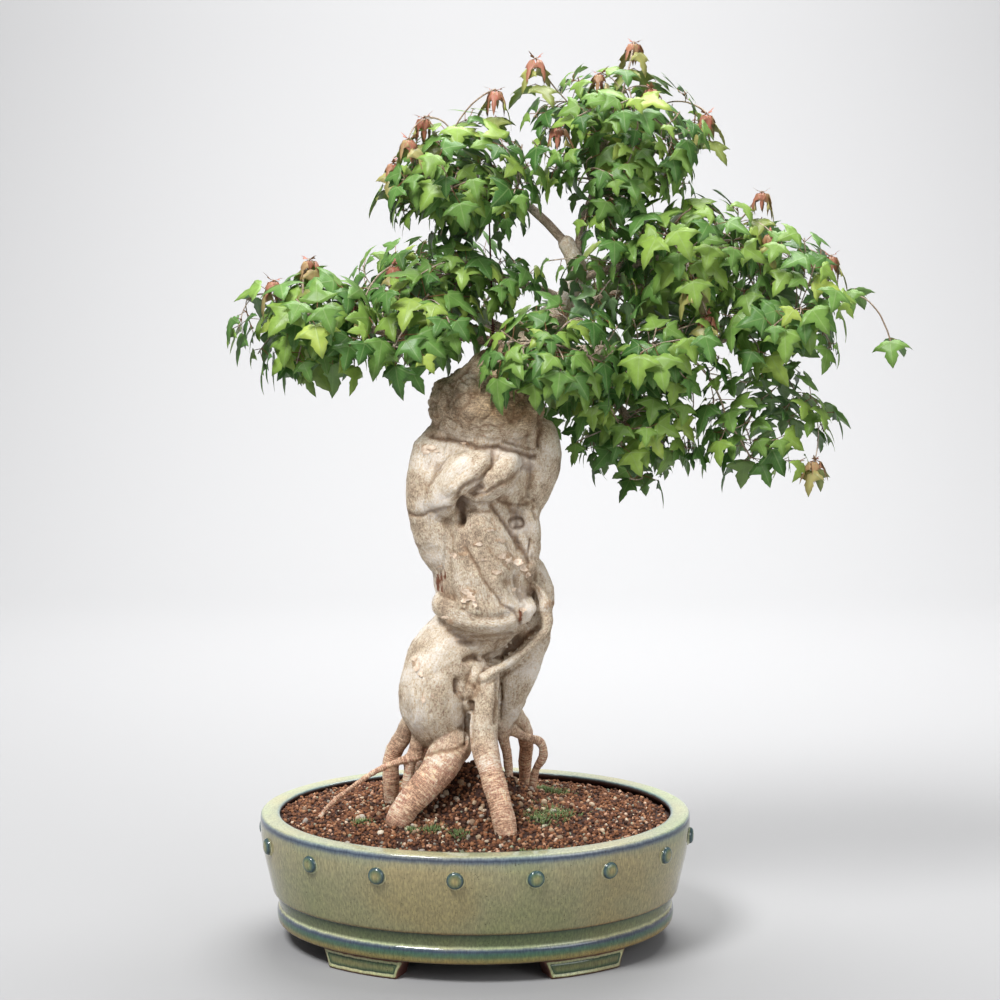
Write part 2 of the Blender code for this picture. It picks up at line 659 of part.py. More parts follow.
def make_branch(name, plan, green, placed):
    """A leafy branch: its wood, the shoots that grow from it and the leaves on each shoot."""
    wood = in_metres(plan["wood"])
    branch = new_object(name, *tube(wood, BRANCH_SIDES), green)
    placed.add(name, *tube([(*p[:3], p[3] + GAP) for p in wood], BRANCH_SIDES))
    ends = sample(wood[len(wood) // 3:], SHOOT_PITCH)
    shoots = []
    parts = []
    for number, (target, *leaves) in enumerate(branch_shoots(name, plan)):
        path = shoot_path(target, ends)
        wide = [(*p[:3], p[3] + SHOOT_CLEAR) for p in path]
        if placed.blocks(*tube(wide, SHOOT_SIDES), (name,)):
            continue
        skin = tube(path, SHOOT_SIDES)
        placed.add(name, *skin)
        parts.append(new_object("shoot", *skin))
        ends += sample(path, SHOOT_PITCH)
        shoots.append((number, path, *leaves))
    for number, path, middle, lengths, places in shoots:
        draw = random.Random(f"{SEED} {name} {number}")
        runs = sample(path, PAIR_STEP)
        for k, part in enumerate(places):
            place, along, _ = runs[min(round(part * len(runs)), len(runs) - 2)]
            out = along.cross(Vector((0.0, 0.0, 1.0))).normalized()
            if k % 2:
                out = out * math.cos(PAIR_TURN) + out.cross(along) * math.sin(PAIR_TURN)
            for side in (-1, 1):
                way = out * side + along * PAIR_ONWARD + Vector((0.0, 0.0, PAIR_RISE))
                length = draw.uniform(*lengths) * MM
                node = f"{name} {number} {k}"
                grown = place_leaf(name, node, place, way, length, draw, placed, middle)
                if grown:
                    parts.append(new_object("leaf", *grown))
    for part in [branch] + parts:
        in_triangles(part)
    boolean(branch, parts, "UNION", "MANIFOLD")
    in_triangles(branch, drop_idle=True)
    keep_largest_body(branch)
    return branch


def make_wire(metal, placed):
    """A taut wire between two branches, looped round each."""
    loops = []
    for name in ("branch_left_low", "branch_upper_left"):
        path = in_metres(BRANCHES[name]["wood"])
        for a, b in zip(path, path[1:]):
            if min(a[0], b[0]) <= WIRE_X <= max(a[0], b[0]):
                part = (WIRE_X - a[0]) / (b[0] - a[0])
                start, end = Vector(a[:3]), Vector(b[:3])
                radius = max(a[3], b[3])
                loops.append((start.lerp(end, part), (end - start).normalized(), radius))
                break
    rings = []
    for middle, along, radius in loops:
        up = (Vector((0, 0, 1)) - along * along.z).normalized()
        side = along.cross(up)
        wide = radius + 2 * GAP + WIRE_RADIUS
        ring = []
        for k in range(LOOP_STEPS):
            turn = 2 * math.pi * k / LOOP_STEPS
            out = side * math.cos(turn) + up * math.sin(turn)
            spot = middle + out * wide
            ring.append([spot + WIRE_RADIUS * (out * math.cos(a) + along * math.sin(a))
                         for a in (2 * math.pi * j / WIRE_SIDES for j in range(WIRE_SIDES))])
        rings.append((ring, middle, up * wide))
    low, high = sorted(rings, key=lambda ring: ring[1].z)
    path = [(*(low[1] + low[2]), WIRE_RADIUS), (*(high[1] - high[2]), WIRE_RADIUS)]
    wire = new_object("guy_wire", *tube(path, WIRE_SIDES), metal)
    placed.add("guy_wire", *tube([(*p[:3], 3 * WIRE_RADIUS) for p in path], WIRE_SIDES))
    parts = []
    for ring, _, _ in (low, high):
        skin, sides = loft(ring + [ring[0]], cap=False)
        skin = skin[:-WIRE_SIDES]
        sides = [tuple(i % len(skin) for i in side) for side in sides]
        placed.add("guy_wire", skin, sides)
        parts.append(new_object("loop", skin, sides))
    boolean(wire, parts, "UNION")
    return wire


def main():
    for old in list(bpy.data.objects):
        bpy.data.objects.remove(old)
    glaze = material("celadon glaze", (0.26, 0.26, 0.13), 0.25)
    plastic = material("black mesh plastic", (0.02, 0.02, 0.02), 0.6)
    earth = material("bonsai soil", (0.10, 0.05, 0.03), 0.95)
    bark = material("maple bark", (0.44, 0.34, 0.23), 0.85)
    green = material("maple leaf", (0.07, 0.22, 0.05), 0.5)
    metal = material("oxidised wire", (0.08, 0.03, 0.02), 0.5, 0.8)

    pot = make_pot(glaze)
    made = [pot, make_drainage_mesh("drainage_mesh_left", -DRAIN_X, plastic),
            make_drainage_mesh("drainage_mesh_right", DRAIN_X, plastic)]
    trunk = make_trunk(bark)
    placed = Placed()
    placed.add("pot", [v.co.copy() for v in pot.data.vertices],
               [tuple(p.vertices) for p in pot.data.polygons])
    placed.add("trunk", [v.co.copy() for v in trunk.data.vertices],
               [tuple(p.vertices) for p in trunk.data.polygons])
    made.append(make_wire(metal, placed))
    sockets = []
    for plan in BRANCHES.values():
        path = in_metres(plan["wood"])
        start = Vector(path[0][:3])
        back = start + (start - Vector(path[1][:3])).normalized() * SOCKET_GAP
        wide = [(*p[:3], p[3] + SOCKET_GAP) for p in path[:3]]
        sockets.append(new_object("socket", *tube([(*back, wide[0][3])] + wide, BRANCH_SIDES)))
    for name, plan in BRANCHES.items():
        made.append(make_branch(name, plan, green, placed))
    boolean(trunk, sockets, "DIFFERENCE")
    keep_largest_body(trunk)
    made += [trunk, make_soil(earth, trunk)]

    middle = bpy.data.objects.new("middle of the pot", None)
    bpy.context.scene.collection.objects.link(middle)
    for part in made:
        part.parent = middle
        part.data.shade_smooth()
    middle.location = (-CENTRE_X, -CENTRE_Y, 0.0)


if __name__ == "__main__":
    main()
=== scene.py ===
import math
import random

import bmesh
import bpy
import numpy as np
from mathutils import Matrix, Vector, geometry, noise
from mathutils.bvhtree import BVHTree


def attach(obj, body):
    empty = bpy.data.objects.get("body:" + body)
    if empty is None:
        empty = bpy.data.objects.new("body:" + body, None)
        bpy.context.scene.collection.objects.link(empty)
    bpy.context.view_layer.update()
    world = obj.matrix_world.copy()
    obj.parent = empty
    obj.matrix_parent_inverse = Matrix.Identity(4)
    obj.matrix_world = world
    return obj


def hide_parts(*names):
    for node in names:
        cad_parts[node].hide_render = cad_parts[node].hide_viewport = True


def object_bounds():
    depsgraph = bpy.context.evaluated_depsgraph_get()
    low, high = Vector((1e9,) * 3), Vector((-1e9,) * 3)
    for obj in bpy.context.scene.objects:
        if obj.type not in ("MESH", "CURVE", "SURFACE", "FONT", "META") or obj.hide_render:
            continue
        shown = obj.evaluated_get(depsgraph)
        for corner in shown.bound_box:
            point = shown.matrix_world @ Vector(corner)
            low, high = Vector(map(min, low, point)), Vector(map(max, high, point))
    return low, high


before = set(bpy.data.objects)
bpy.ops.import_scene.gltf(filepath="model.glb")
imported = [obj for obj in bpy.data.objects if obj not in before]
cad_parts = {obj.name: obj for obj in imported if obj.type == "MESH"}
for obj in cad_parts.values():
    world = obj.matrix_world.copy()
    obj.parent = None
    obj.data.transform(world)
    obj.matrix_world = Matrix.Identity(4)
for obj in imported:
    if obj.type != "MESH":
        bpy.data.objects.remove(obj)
cad_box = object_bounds()

# Camera. It stands in front of the tree at the height of the lower crown, looks slightly down and
# has a long lens, so the pot's oval shows its soil. Sizes are in mm from the middle of the pot.
MM = 0.001
POT_AT = np.array([-101.0, -5.0, 0.0]) * MM
CAMERA_AT = POT_AT + np.array([26.5, -2500.0, 817.6]) * MM
CAMERA_DOWN = 0.137
FOCAL_MM = 86.2
PHOTO_SIDE = 1000
SENSOR_MM = 36.0

bpy.ops.object.camera_add(location=CAMERA_AT, rotation=(math.pi / 2 - CAMERA_DOWN, 0.0, 0.0))
camera = bpy.context.object
camera.name = "camera"
camera.data.lens = FOCAL_MM
camera.data.sensor_width = SENSOR_MM
bpy.context.scene.camera = camera


def seen_at(places):
    """Where places in metres show in the photograph, in pixels of its 1000 by 1000 frame."""
    from_camera = np.asarray(places) - CAMERA_AT
    ahead = np.array([0.0, math.cos(CAMERA_DOWN), -math.sin(CAMERA_DOWN)])
    above = np.array([0.0, math.sin(CAMERA_DOWN), math.cos(CAMERA_DOWN)])
    far = from_camera @ ahead
    zoom = PHOTO_SIDE * FOCAL_MM / SENSOR_MM
    return np.stack([PHOTO_SIDE / 2 + zoom * from_camera[:, 0] / far,
                     PHOTO_SIDE / 2 - zoom * (from_camera @ above) / far], axis=1)


# Pot. One piece of brown stoneware pressed in a mould: an oval bowl with an inward rim, and under
# its wall a groove, a hollow band and a round belt. The outline runs from the underside up the
# outside, over the rim and down inside: how far in from the rim's edge, and the height, in mm.
POT_HALF = np.array([230.0, 184.7])
POT_SIDES = 320
POT_LINE = [
    (60.0, 20.6), (26.0, 20.7), (20.4, 20.9), (18.2, 22.2), (17.2, 25.2), (16.8, 29.5),
    (17.0, 33.6), (17.7, 36.4), (18.8, 37.9), (19.3, 39.6), (18.8, 42.0), (17.4, 46.2),
    (16.2, 50.0), (15.6, 52.6), (14.4, 53.8), (13.1, 54.4), (12.3, 55.8), (11.5, 58.6),
    (8.0, 75.0), (4.7, 90.0), (2.3, 103.0), (0.7, 114.0), (0.1, 124.0), (0.0, 131.0),
    (0.3, 135.4), (1.2, 137.6), (3.0, 138.6), (7.0, 138.7), (13.0, 138.7), (18.2, 138.6),
    (20.1, 138.0), (21.0, 136.6), (20.8, 134.6), (18.6, 132.0), (14.0, 128.4), (12.1, 125.0),
    (12.2, 117.0), (12.6, 108.0), (18.0, 82.0), (27.0, 48.0), (40.0, 31.0), (90.0, 31.0)]
LINE_STEPS = 3
DRAIN_X = 85.0
DRAIN_RADIUS = 14.0
DRAIN_SIDES = 48
DRILL_LONG = 40.0
DRILL_MIDDLE = 26.0


def smooth_line(points, steps):
    """A smooth curve through the points, with this many parts between neighbours."""
    points = np.array(points, float)
    ends = np.vstack([2 * points[0] - points[1], points, 2 * points[-1] - points[-2]])
    part = np.arange(steps)[:, None] / steps
    found = []
    for a, b, c, d in zip(ends, ends[1:], ends[2:], ends[3:]):
        found.append(b + 0.5 * part * (c - a) + 0.5 * part ** 2 * (2 * a - 5 * b + 4 * c - d)
                     + 0.5 * part ** 3 * (3 * b - 3 * c + d - a))
    return np.vstack(found + [points[-1:]])


def run_along(line):
    """How far along a line each of its points is."""
    return np.concatenate([[0.0], np.cumsum(np.linalg.norm(np.diff(line, axis=0), axis=1))])


def begun(name, primitive, **sizes):
    """A new piece that starts as a primitive, with nothing else selected."""
    bpy.ops.object.select_all(action="DESELECT")
    primitive(**sizes)
    bpy.context.object.name = name
    return bpy.context.object


def raised(name, sides, rings):
    """A closed form raised from a disc, ring by ring: each is half width, half depth, height."""
    made = begun(name, bpy.ops.mesh.primitive_circle_add, vertices=sides, radius=1.0,
                 fill_type="NGON")
    bpy.ops.object.mode_set(mode="EDIT")
    bpy.ops.mesh.select_mode(type="EDGE")
    bpy.ops.mesh.select_all(action="SELECT")
    wide, deep, high = rings[0]
    bpy.ops.transform.translate(value=(0.0, 0.0, high))
    bpy.ops.transform.resize(value=(wide, deep, 1.0), center_override=(0.0, 0.0, high))
    for (x, y, z), (next_x, next_y, next_z) in zip(rings, rings[1:]):
        rise = {"value": (0.0, 0.0, next_z - z)}
        bpy.ops.mesh.extrude_edges_move(TRANSFORM_OT_translate=rise)
        bpy.ops.transform.resize(value=(next_x / x, next_y / y, 1.0),
                                 center_override=(0.0, 0.0, next_z))
    bpy.ops.mesh.edge_face_add()
    bpy.ops.mesh.select_all(action="SELECT")
    bpy.ops.mesh.normals_make_consistent(inside=False)
    bpy.ops.object.mode_set(mode="OBJECT")
    bpy.ops.object.shade_smooth()
    return made


def mark(piece, name, values):
    """Gives each point of a mesh a number, or three, that its material reads."""
    values = np.asarray(values, np.float32)
    kind, field = ("FLOAT", "value") if values.ndim == 1 else ("FLOAT_VECTOR", "vector")
    piece.data.attributes.new(name, kind, "POINT").data.foreach_set(field, values.ravel())


def choose(*pieces):
    """Selects these pieces alone and makes the last one active."""
    bpy.ops.object.select_all(action="DESELECT")
    for piece in pieces:
        piece.select_set(True)
    bpy.context.view_layer.objects.active = pieces[-1]


def settle(piece):
    """Puts the piece's place into its mesh, so that its object sits at the origin."""
    choose(piece)
    bpy.ops.object.transform_apply(location=True, rotation=True, scale=True)


def shape_by(piece, name, kind, **settings):
    """Changes a mesh by a modifier and keeps what it gives."""
    bpy.context.view_layer.objects.active = piece
    modifier = piece.modifiers.new(name, kind)
    for key, value in settings.items():
        setattr(modifier, key, value)
    bpy.ops.object.modifier_apply(modifier=modifier.name)


pot_line = smooth_line(POT_LINE, LINE_STEPS)
pot_rings = [((POT_HALF[0] - inset) * MM, (POT_HALF[1] - inset) * MM, height * MM)
             for inset, height in pot_line]
pot = raised("pot_bowl", POT_SIDES, pot_rings)
pot_run = run_along(pot_line)
mark(pot, "run", np.repeat(pot_run, POT_SIDES))
pot.location = POT_AT
settle(pot)
for side in (-1, 1):
    drill = begun("drill", bpy.ops.mesh.primitive_cylinder_add, vertices=DRAIN_SIDES,
                  radius=DRAIN_RADIUS * MM, depth=DRILL_LONG * MM,
                  location=POT_AT + np.array([side * DRAIN_X, 0.0, DRILL_MIDDLE]) * MM)
    shape_by(pot, "drain hole", "BOOLEAN", operation="DIFFERENCE", object=drill)
    bpy.data.objects.remove(drill)


def srgb(code):
    """The linear colour of an sRGB hex value."""
    parts = [int(code[i:i + 2], 16) / 255 for i in (1, 3, 5)]
    return [*(p / 12.92 if p <= 0.04045 else ((p + 0.055) / 1.055) ** 2.4 for p in parts), 1.0]


def fit(tree, made, settings, links):
    """Gives a node its settings and links, each named by socket, socket's number or property."""
    for key, value in settings.items():
        if key == "stops":
            while len(made.color_ramp.elements) < len(value):
                made.color_ramp.elements.new(1.0)
            for stop, (place, colour) in zip(made.color_ramp.elements, value):
                stop.position = place
                stop.color = srgb(colour)
        elif isinstance(key, int) or key in made.inputs:
            made.inputs[key].default_value = value
        else:
            setattr(made, key, value)
    for key, source in links.items():
        tree.links.new(source.outputs[0] if hasattr(source, "outputs") else source,
                       made.inputs[key])
    return made


def node(tree, kind, settings, links):
    """Adds a node with its settings and links."""
    return fit(tree, tree.nodes.new("ShaderNode" + kind), settings, links)


def new_finish(name):
    """A material with its node tree and its one shader."""
    made = bpy.data.materials.new(name)
    made.use_nodes = True
    return made, made.node_tree, made.node_tree.nodes["Principled BSDF"]


# Celadon glaze, fired in reduction over iron brown clay. It is glossy and a little uneven, runs
# thin and pale on edges, pools blue and green under them, and leaves the foot and inside bare.
# A band is a place along the outline, found by its height or by how far in it is, and a colour.
# The wall's bands start where the underside is WALL_FROM in from the rim's edge, and the rim's
# end where its inner edge is RIM_TO in. Bare clay turns to glaze over GLAZE_FADE.
WALL_BANDS = [
    (20.7, "#2c1c17"), (21.6, "#5a4028"), (22.8, "#a08a55"), (26.0, "#93895a"), (29.0, "#5d7358"),
    (32.0, "#44695f"), (34.5, "#435064"), (36.6, "#69748a"), (37.6, "#cfd2b4"), (38.6, "#c3c8a4"),
    (40.2, "#828a68"), (45.0, "#76805c"), (50.5, "#5f6d50"), (52.6, "#465444"), (53.9, "#5d4632"),
    (55.0, "#94815c"), (57.0, "#9b9773"), (95.0, "#a09c79"), (122.0, "#a7a17f"),
    (129.5, "#9d9f85"), (132.5, "#627080"), (134.6, "#434f66"), (136.6, "#8492a4")]
RIM_BANDS = [
    (1.6, "#b0b8a6"), (3.0, "#bcc0a4"), (12.0, "#b8bb9c"), (17.5, "#acb298"), (19.2, "#8ea09a"),
    (20.6, "#566876"), (21.0, "#41302e")]
INNER_CLAY = "#4a251b"
INNER_FADE = 3.0
WALL_FROM = 22.0
RIM_TO = 20.9
GLAZE_FADE = 1.5


def glaze(name, bands, longest, rough_before, rough_after):
    """Glaze whose colour follows the run over the piece, in mm, from 0 to the longest. It is bare
    before one run and after another."""
    made, tree, shader = new_finish(name)
    where = node(tree, "TexCoord", {}, {}).outputs["Object"]
    run = node(tree, "Attribute", {"attribute_name": "run"}, {}).outputs["Fac"]
    # The edge of a run of glaze wanders by about a millimetre every centimetre or so.
    stretched = node(tree, "Mapping", {"Scale": (1.0, 1.0, 0.3)}, {"Vector": where})
    wander = node(tree, "TexNoise", {"Scale": 110.0, "Detail": 4.0}, {"Vector": stretched})
    offset = node(tree, "Math", {"operation": "MULTIPLY_ADD", 1: 2.4, 2: -1.2}, {0: wander})
    place = node(tree, "Math", {"operation": "ADD"}, {0: run, 1: offset})
    part = node(tree, "Math", {"operation": "DIVIDE", 1: longest}, {0: place})
    stops = [(run_at / longest, colour) for run_at, colour in bands]
    colour = node(tree, "ValToRGB", {"stops": stops}, {"Fac": part})
    # Fine streaks run down the wall, 1.5 mm wide and a few times as long, pale and dark.
    streak = node(tree, "TexNoise", {"Scale": 560.0, "Detail": 3.0, "Roughness": 0.6},
                  {"Vector": stretched})
    contrast = node(tree, "ValToRGB", {"stops": [
        (0.34, "#6c716a"), (0.5, "#a8a8a6"), (0.68, "#dcdfc9")]}, {"Fac": streak})
    streaked = node(tree, "MixRGB", {"blend_type": "OVERLAY", "Fac": 0.42},
                    {"Color1": colour, "Color2": contrast})
    # Thick and thin places of the glaze, a hand's breadth across, lean to green and to brown.
    cloud = node(tree, "TexNoise", {"Scale": 9.0, "Detail": 3.0}, {"Vector": where})
    tint = node(tree, "ValToRGB", {"stops": [
        (0.36, "#8e9e88"), (0.5, "#a2a29e"), (0.64, "#b4a18c")]}, {"Fac": cloud})
    tinted = node(tree, "MixRGB", {"blend_type": "OVERLAY", "Fac": 0.5},
                  {"Color1": streaked, "Color2": tint})
    # Pinholes and iron specks, each under a millimetre.
    specks = node(tree, "TexNoise", {"Scale": 700.0, "Detail": 1.0}, {"Vector": where})
    speck = node(tree, "ValToRGB", {"stops": [(0.70, "#000000"), (0.76, "#ffffff")]},
                 {"Fac": specks})
    speckled = node(tree, "MixRGB", {"Color2": srgb("#3c3526")},
                    {"Fac": speck, "Color1": tinted})
    bare = [(0.0, "#e0e0e0"), (rough_before / longest, "#e0e0e0"),
            ((rough_before + GLAZE_FADE) / longest, "#3c3c3c"),
            ((rough_after - GLAZE_FADE) / longest, "#3c3c3c"), (rough_after / longest, "#dcdcdc")]
    sheen = node(tree, "ValToRGB", {"stops": bare}, {"Fac": part})
    skin = node(tree, "TexNoise", {"Scale": 130.0, "Detail": 2.0}, {"Vector": where})
    uneven = node(tree, "Bump", {"Strength": 0.18, "Distance": 0.6 * MM}, {"Height": skin})
    fit(tree, shader, {"IOR": 1.52},
        {"Base Color": speckled, "Roughness": sheen, "Normal": uneven})
    return made


edge = int(pot_line[:, 0].argmin())
low = int(np.argmax(pot_line[:, 0] < WALL_FROM))
top = int(pot_line[:, 1].argmax())
inner = edge + int(np.argmax(pot_line[edge:, 0] >= RIM_TO))
wall, wall_run = pot_line[low:top, 1], pot_run[low:top]
rim, rim_run = pot_line[edge:inner + 1, 0], pot_run[edge:inner + 1]
bands = [(0.0, WALL_BANDS[0][1])]
bands += [(np.interp(height, wall, wall_run), colour) for height, colour in WALL_BANDS]
bands += [(np.interp(inset, rim, rim_run), colour) for inset, colour in RIM_BANDS]
bands.append((pot_run[inner] + INNER_FADE, INNER_CLAY))
pot_glaze = glaze("celadon glazed stoneware", bands, pot_run[-1], bands[2][0], bands[-2][0])
pot.data.materials.append(pot_glaze)
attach(pot, "root")
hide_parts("pot")

# Studs. Sixteen low domes of the same clay, pressed on below the rim at even steps round the
# oval. The glaze is thin and pale round each one's foot, pools on its edge and is tan on top.
STUD_COUNT = 16
STUD_PHASE = -0.226
RIM_TOP = 138.7
STUD_DROP = 24.2
STUD_INSET = 1.2
STUD_SIDES = 28
STUD_RINGS = [
    (10.6, -2.2), (10.4, -0.2), (9.7, 0.25), (9.1, 0.8), (8.8, 1.6), (8.6, 2.5), (8.0, 3.6),
    (6.9, 4.5), (5.2, 5.1), (3.1, 5.4), (1.0, 5.5)]
STUD_BANDS = [
    (0.0, "#94946e"), (1.6, "#b9ba98"), (3.0, "#c2c2a2"), (4.3, "#6d7a66"), (5.6, "#3f5560"),
    (7.4, "#47616a"), (9.6, "#6f7f66"), (12.5, "#94926a"), (15.6, "#a39b72")]
STUD_RUN = 16.0
OVAL_STEPS = 2880


def on_oval(turns, inset, height):
    """Places on a level oval this far in from the rim's edge, all in mm from the pot's middle."""
    wide, deep = POT_HALF[0] - inset, POT_HALF[1] - inset
    return np.stack([wide * np.sin(turns), -deep * np.cos(turns), height + 0.0 * turns], axis=-1)


def unit(ways):
    """The same ways, each with a length of one."""
    return ways / np.linalg.norm(ways, axis=1, keepdims=True)


def read_points(rows, field):
    """The three numbers that each point of a mesh holds, as an array."""
    found = np.empty(len(rows) * 3, np.float32)
    rows.foreach_get(field, found)
    return found.reshape(-1, 3).astype(float)


def mesh_points(piece):
    """The points of a mesh as an array."""
    return read_points(piece.data.vertices, "co")


def move_points(piece, points):
    """Moves the points of a mesh."""
    piece.data.vertices.foreach_set("co", np.asarray(points, np.float32).ravel())
    piece.data.update()


def repeat(piece, turns, places):
    """The mesh becomes many copies of itself, each turned or stretched by a matrix and moved."""
    points = mesh_points(piece)
    corners = np.empty(len(piece.data.loops), np.int32)
    piece.data.loops.foreach_get("vertex_index", corners)
    starts = np.empty(len(piece.data.polygons), np.int32)
    piece.data.polygons.foreach_get("loop_start", starts)
    number = np.arange(len(places))[:, None]
    spread = np.einsum("nij,pj->npi", turns, points) + np.asarray(places)[:, None]
    made = bpy.data.meshes.new(piece.name)
    made.vertices.add(spread.size // 3)
    made.loops.add(len(places) * len(corners))
    made.polygons.add(len(places) * len(starts))
    made.vertices.foreach_set("co", spread.astype(np.float32).ravel())
    made.loops.foreach_set("vertex_index", (number * len(points) + corners).ravel())
    made.polygons.foreach_set("loop_start", (number * len(corners) + starts).ravel())
    made.update(calc_edges=True)
    old = piece.data
    piece.data = made
    bpy.data.meshes.remove(old)


many_turns = np.linspace(0.0, 2 * math.pi, OVAL_STEPS + 1)
arc_run = run_along(on_oval(many_turns, STUD_INSET, 0.0))
stud_turns = np.interp((np.arange(STUD_COUNT) + STUD_PHASE) / STUD_COUNT % 1.0 * arc_run[-1],
                       arc_run, many_turns)
studs = raised("pot_studs", STUD_SIDES, [(r * MM, r * MM, h * MM) for r, h in STUD_RINGS])
stud_out = unit(np.stack([np.sin(stud_turns) / POT_HALF[0], -np.cos(stud_turns) / POT_HALF[1],
                          0.0 * stud_turns], axis=-1))
upward = np.tile([0.0, 0.0, 1.0], (STUD_COUNT, 1))
stud_frames = np.stack([np.cross(upward, stud_out), upward, stud_out], axis=-1)
repeat(studs, stud_frames, on_oval(stud_turns, STUD_INSET, RIM_TOP - STUD_DROP) * MM + POT_AT)
studs.data.shade_smooth()
mark(studs, "run", np.tile(np.repeat(run_along(STUD_RINGS), STUD_SIDES), STUD_COUNT))
studs.data.materials.append(glaze("celadon glaze pooled on studs", STUD_BANDS, STUD_RUN, 0.0,
                                  STUD_RUN))
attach(studs, "root")
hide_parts("pot")

# Feet. Four low bracket feet cut from slabs of the same clay and luted under the belt, with
# slanting ends and a raised border on their faces. Glaze covers the border, and the clay shows
# dark brown at their edges and behind.
POT_BASE = 20.7
FOOT_ANGLE = math.radians(34.6)
FOOT_TURNS = (FOOT_ANGLE, -FOOT_ANGLE, math.pi + FOOT_ANGLE, math.pi - FOOT_ANGLE)
FOOT_SPAN = math.radians(15.4)
FOOT_INSET = 22.5
FOOT_DEPTH = 26.0
FOOT_SINK = 3.0
FOOT_BOTTOM_SPAN = 0.8
FOOT_HALF = np.array([52.0, 13.0, 0.5 * (POT_BASE + FOOT_SINK)])
FOOT_ROUND = 2.4
FOOT_CUTS = 30
FOOT_BORDER = 4.6
FOOT_GROOVE = 1.0
FOOT_GROOVE_WIDE = 1.1
FOOT_PANEL = 0.7
FOOT_PANEL_STEEP = 2.5
FOOT_FLARE = 1.6
FOOT_RUN = 13.0
FOOT_BARE = 1.4
FOOT_BANDS = [
    (0.0, "#5a2c24"), (1.6, "#6b4a35"), (2.6, "#b5b48c"), (4.2, "#bdbd98"), (5.2, "#3d5140"),
    (6.6, "#55664c"), (9.0, "#7d7f5a"), (13.0, "#85845c")]

feet = begun("pot_feet", bpy.ops.mesh.primitive_cube_add, size=2.0)
bpy.ops.object.mode_set(mode="EDIT")
bpy.ops.mesh.select_all(action="SELECT")
bpy.ops.mesh.subdivide(number_cuts=FOOT_CUTS)
bpy.ops.object.mode_set(mode="OBJECT")
slab = mesh_points(feet) * FOOT_HALF
core = np.clip(slab, FOOT_ROUND - FOOT_HALF, FOOT_HALF - FOOT_ROUND)
out = slab - core
slab = core + out * (FOOT_ROUND / np.maximum(np.linalg.norm(out, axis=1), 1e-9))[:, None]
foot_high = 2 * FOOT_HALF[2]
rise = (slab[:, 2] + FOOT_HALF[2]) / foot_high
from_edge = np.minimum(FOOT_HALF[0] - np.abs(slab[:, 0]),
                       np.minimum(rise * foot_high, POT_BASE - rise * foot_high))
front = slab[:, 1] < FOOT_ROUND - FOOT_HALF[1]
groove = FOOT_GROOVE * np.exp(-((from_edge - FOOT_BORDER) / FOOT_GROOVE_WIDE) ** 2)
panel = FOOT_PANEL / (1.0 + np.exp(-(from_edge - FOOT_BORDER) * FOOT_PANEL_STEEP))
slab[:, 1] += np.where(front, groove + panel, 0.0)
narrow = FOOT_BOTTOM_SPAN + (1.0 - FOOT_BOTTOM_SPAN) * rise ** FOOT_FLARE
foot_run = np.where(front, from_edge, 0.0)
foot_parts = []
for middle in FOOT_TURNS:
    turns = middle + FOOT_SPAN * narrow * slab[:, 0] / FOOT_HALF[0]
    inset = FOOT_INSET + FOOT_DEPTH * (slab[:, 1] / FOOT_HALF[1] + 1.0) / 2
    foot_parts.append(on_oval(turns, inset, rise * foot_high) * MM + POT_AT)
repeat(feet, [np.eye(3)] * len(FOOT_TURNS), np.zeros((len(FOOT_TURNS), 3)))
move_points(feet, np.concatenate(foot_parts))
feet.data.shade_smooth()
mark(feet, "run", np.tile(foot_run, len(FOOT_TURNS)))
feet.data.materials.append(glaze("celadon glaze on feet", FOOT_BANDS, FOOT_RUN, FOOT_BARE,
                                 FOOT_RUN))
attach(feet, "root")
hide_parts("pot")

# Drainage meshes. A square of black plastic net lies over each hole in the pot's floor, under
# the soil. It is moulded, so it is matt with a faint pebbled skin.
mesh_plastic, mesh_tree, mesh_shader = new_finish("moulded polyethylene mesh")
pebbled = node(mesh_tree, "TexNoise", {"Scale": 900.0, "Detail": 2.0},
               {"Vector": node(mesh_tree, "TexCoord", {}, {}).outputs["Object"]})
dust = node(mesh_tree, "ValToRGB", {"stops": [(0.35, "#15161a"), (0.75, "#3a332c")]},
            {"Fac": pebbled})
skin = node(mesh_tree, "Bump", {"Strength": 0.3, "Distance": 0.3 * MM}, {"Height": pebbled})
fit(mesh_tree, mesh_shader, {"Roughness": 0.6, "IOR": 1.51}, {"Base Color": dust, "Normal": skin})
for name in ("drainage_mesh_left", "drainage_mesh_right"):
    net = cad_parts[name]
    net.data.materials.clear()
    net.data.materials.append(mesh_plastic)

# Soil. The pot is filled with moist red-brown grains of fired clay, mixed with a little pumice
# and grit, which rise in a low mound round the roots. A filled body carries a layer of loose
# grains, coarser ones and a few pebbles.
SOIL_EDGE = 131.0
SOIL_MOUND = 12.0
SOIL_CONE = 44.0
SOIL_CONE_AT = (0.0, 8.0)
SOIL_CONE_WIDTH = 56.0
SOIL_LEFT_RISE = 4.0
SOIL_GRAIN = 1.1
SOIL_GRAIN_PITCH = 11.0
SOIL_SIDE = [(41.0, 31.8), (28.0, 48.8), (13.4, 108.6), (13.4, 123.0)]
SOIL_INSET = 21.8
SOIL_SIDES = 160
SOIL_RINGS = 30
SOIL_TOP_REACH = 0.97
RIM_WIDTH = 21.0
BED_DROP = 1.6
BED_STEP = 0.01
GRAIN_COUNT = 8400
GRAIN_SIZES = (1.3, 2.8)
GRAIN_SHAPE = (1.15, 0.95, 0.85)
GRAIN_UNEVEN = (0.72, 1.12)
GRAIN_SUNK = (0.1, 0.9)
FROM_WALL = 1.5
COARSE_COUNT = 1500
COARSE_SIZES = (1.9, 3.1)
COARSE_ELSEWHERE = 0.35
ROOTS_MIDDLE = (-10, -40)
ROOTS_REACH = 90.0
PEBBLE_COUNT = 110
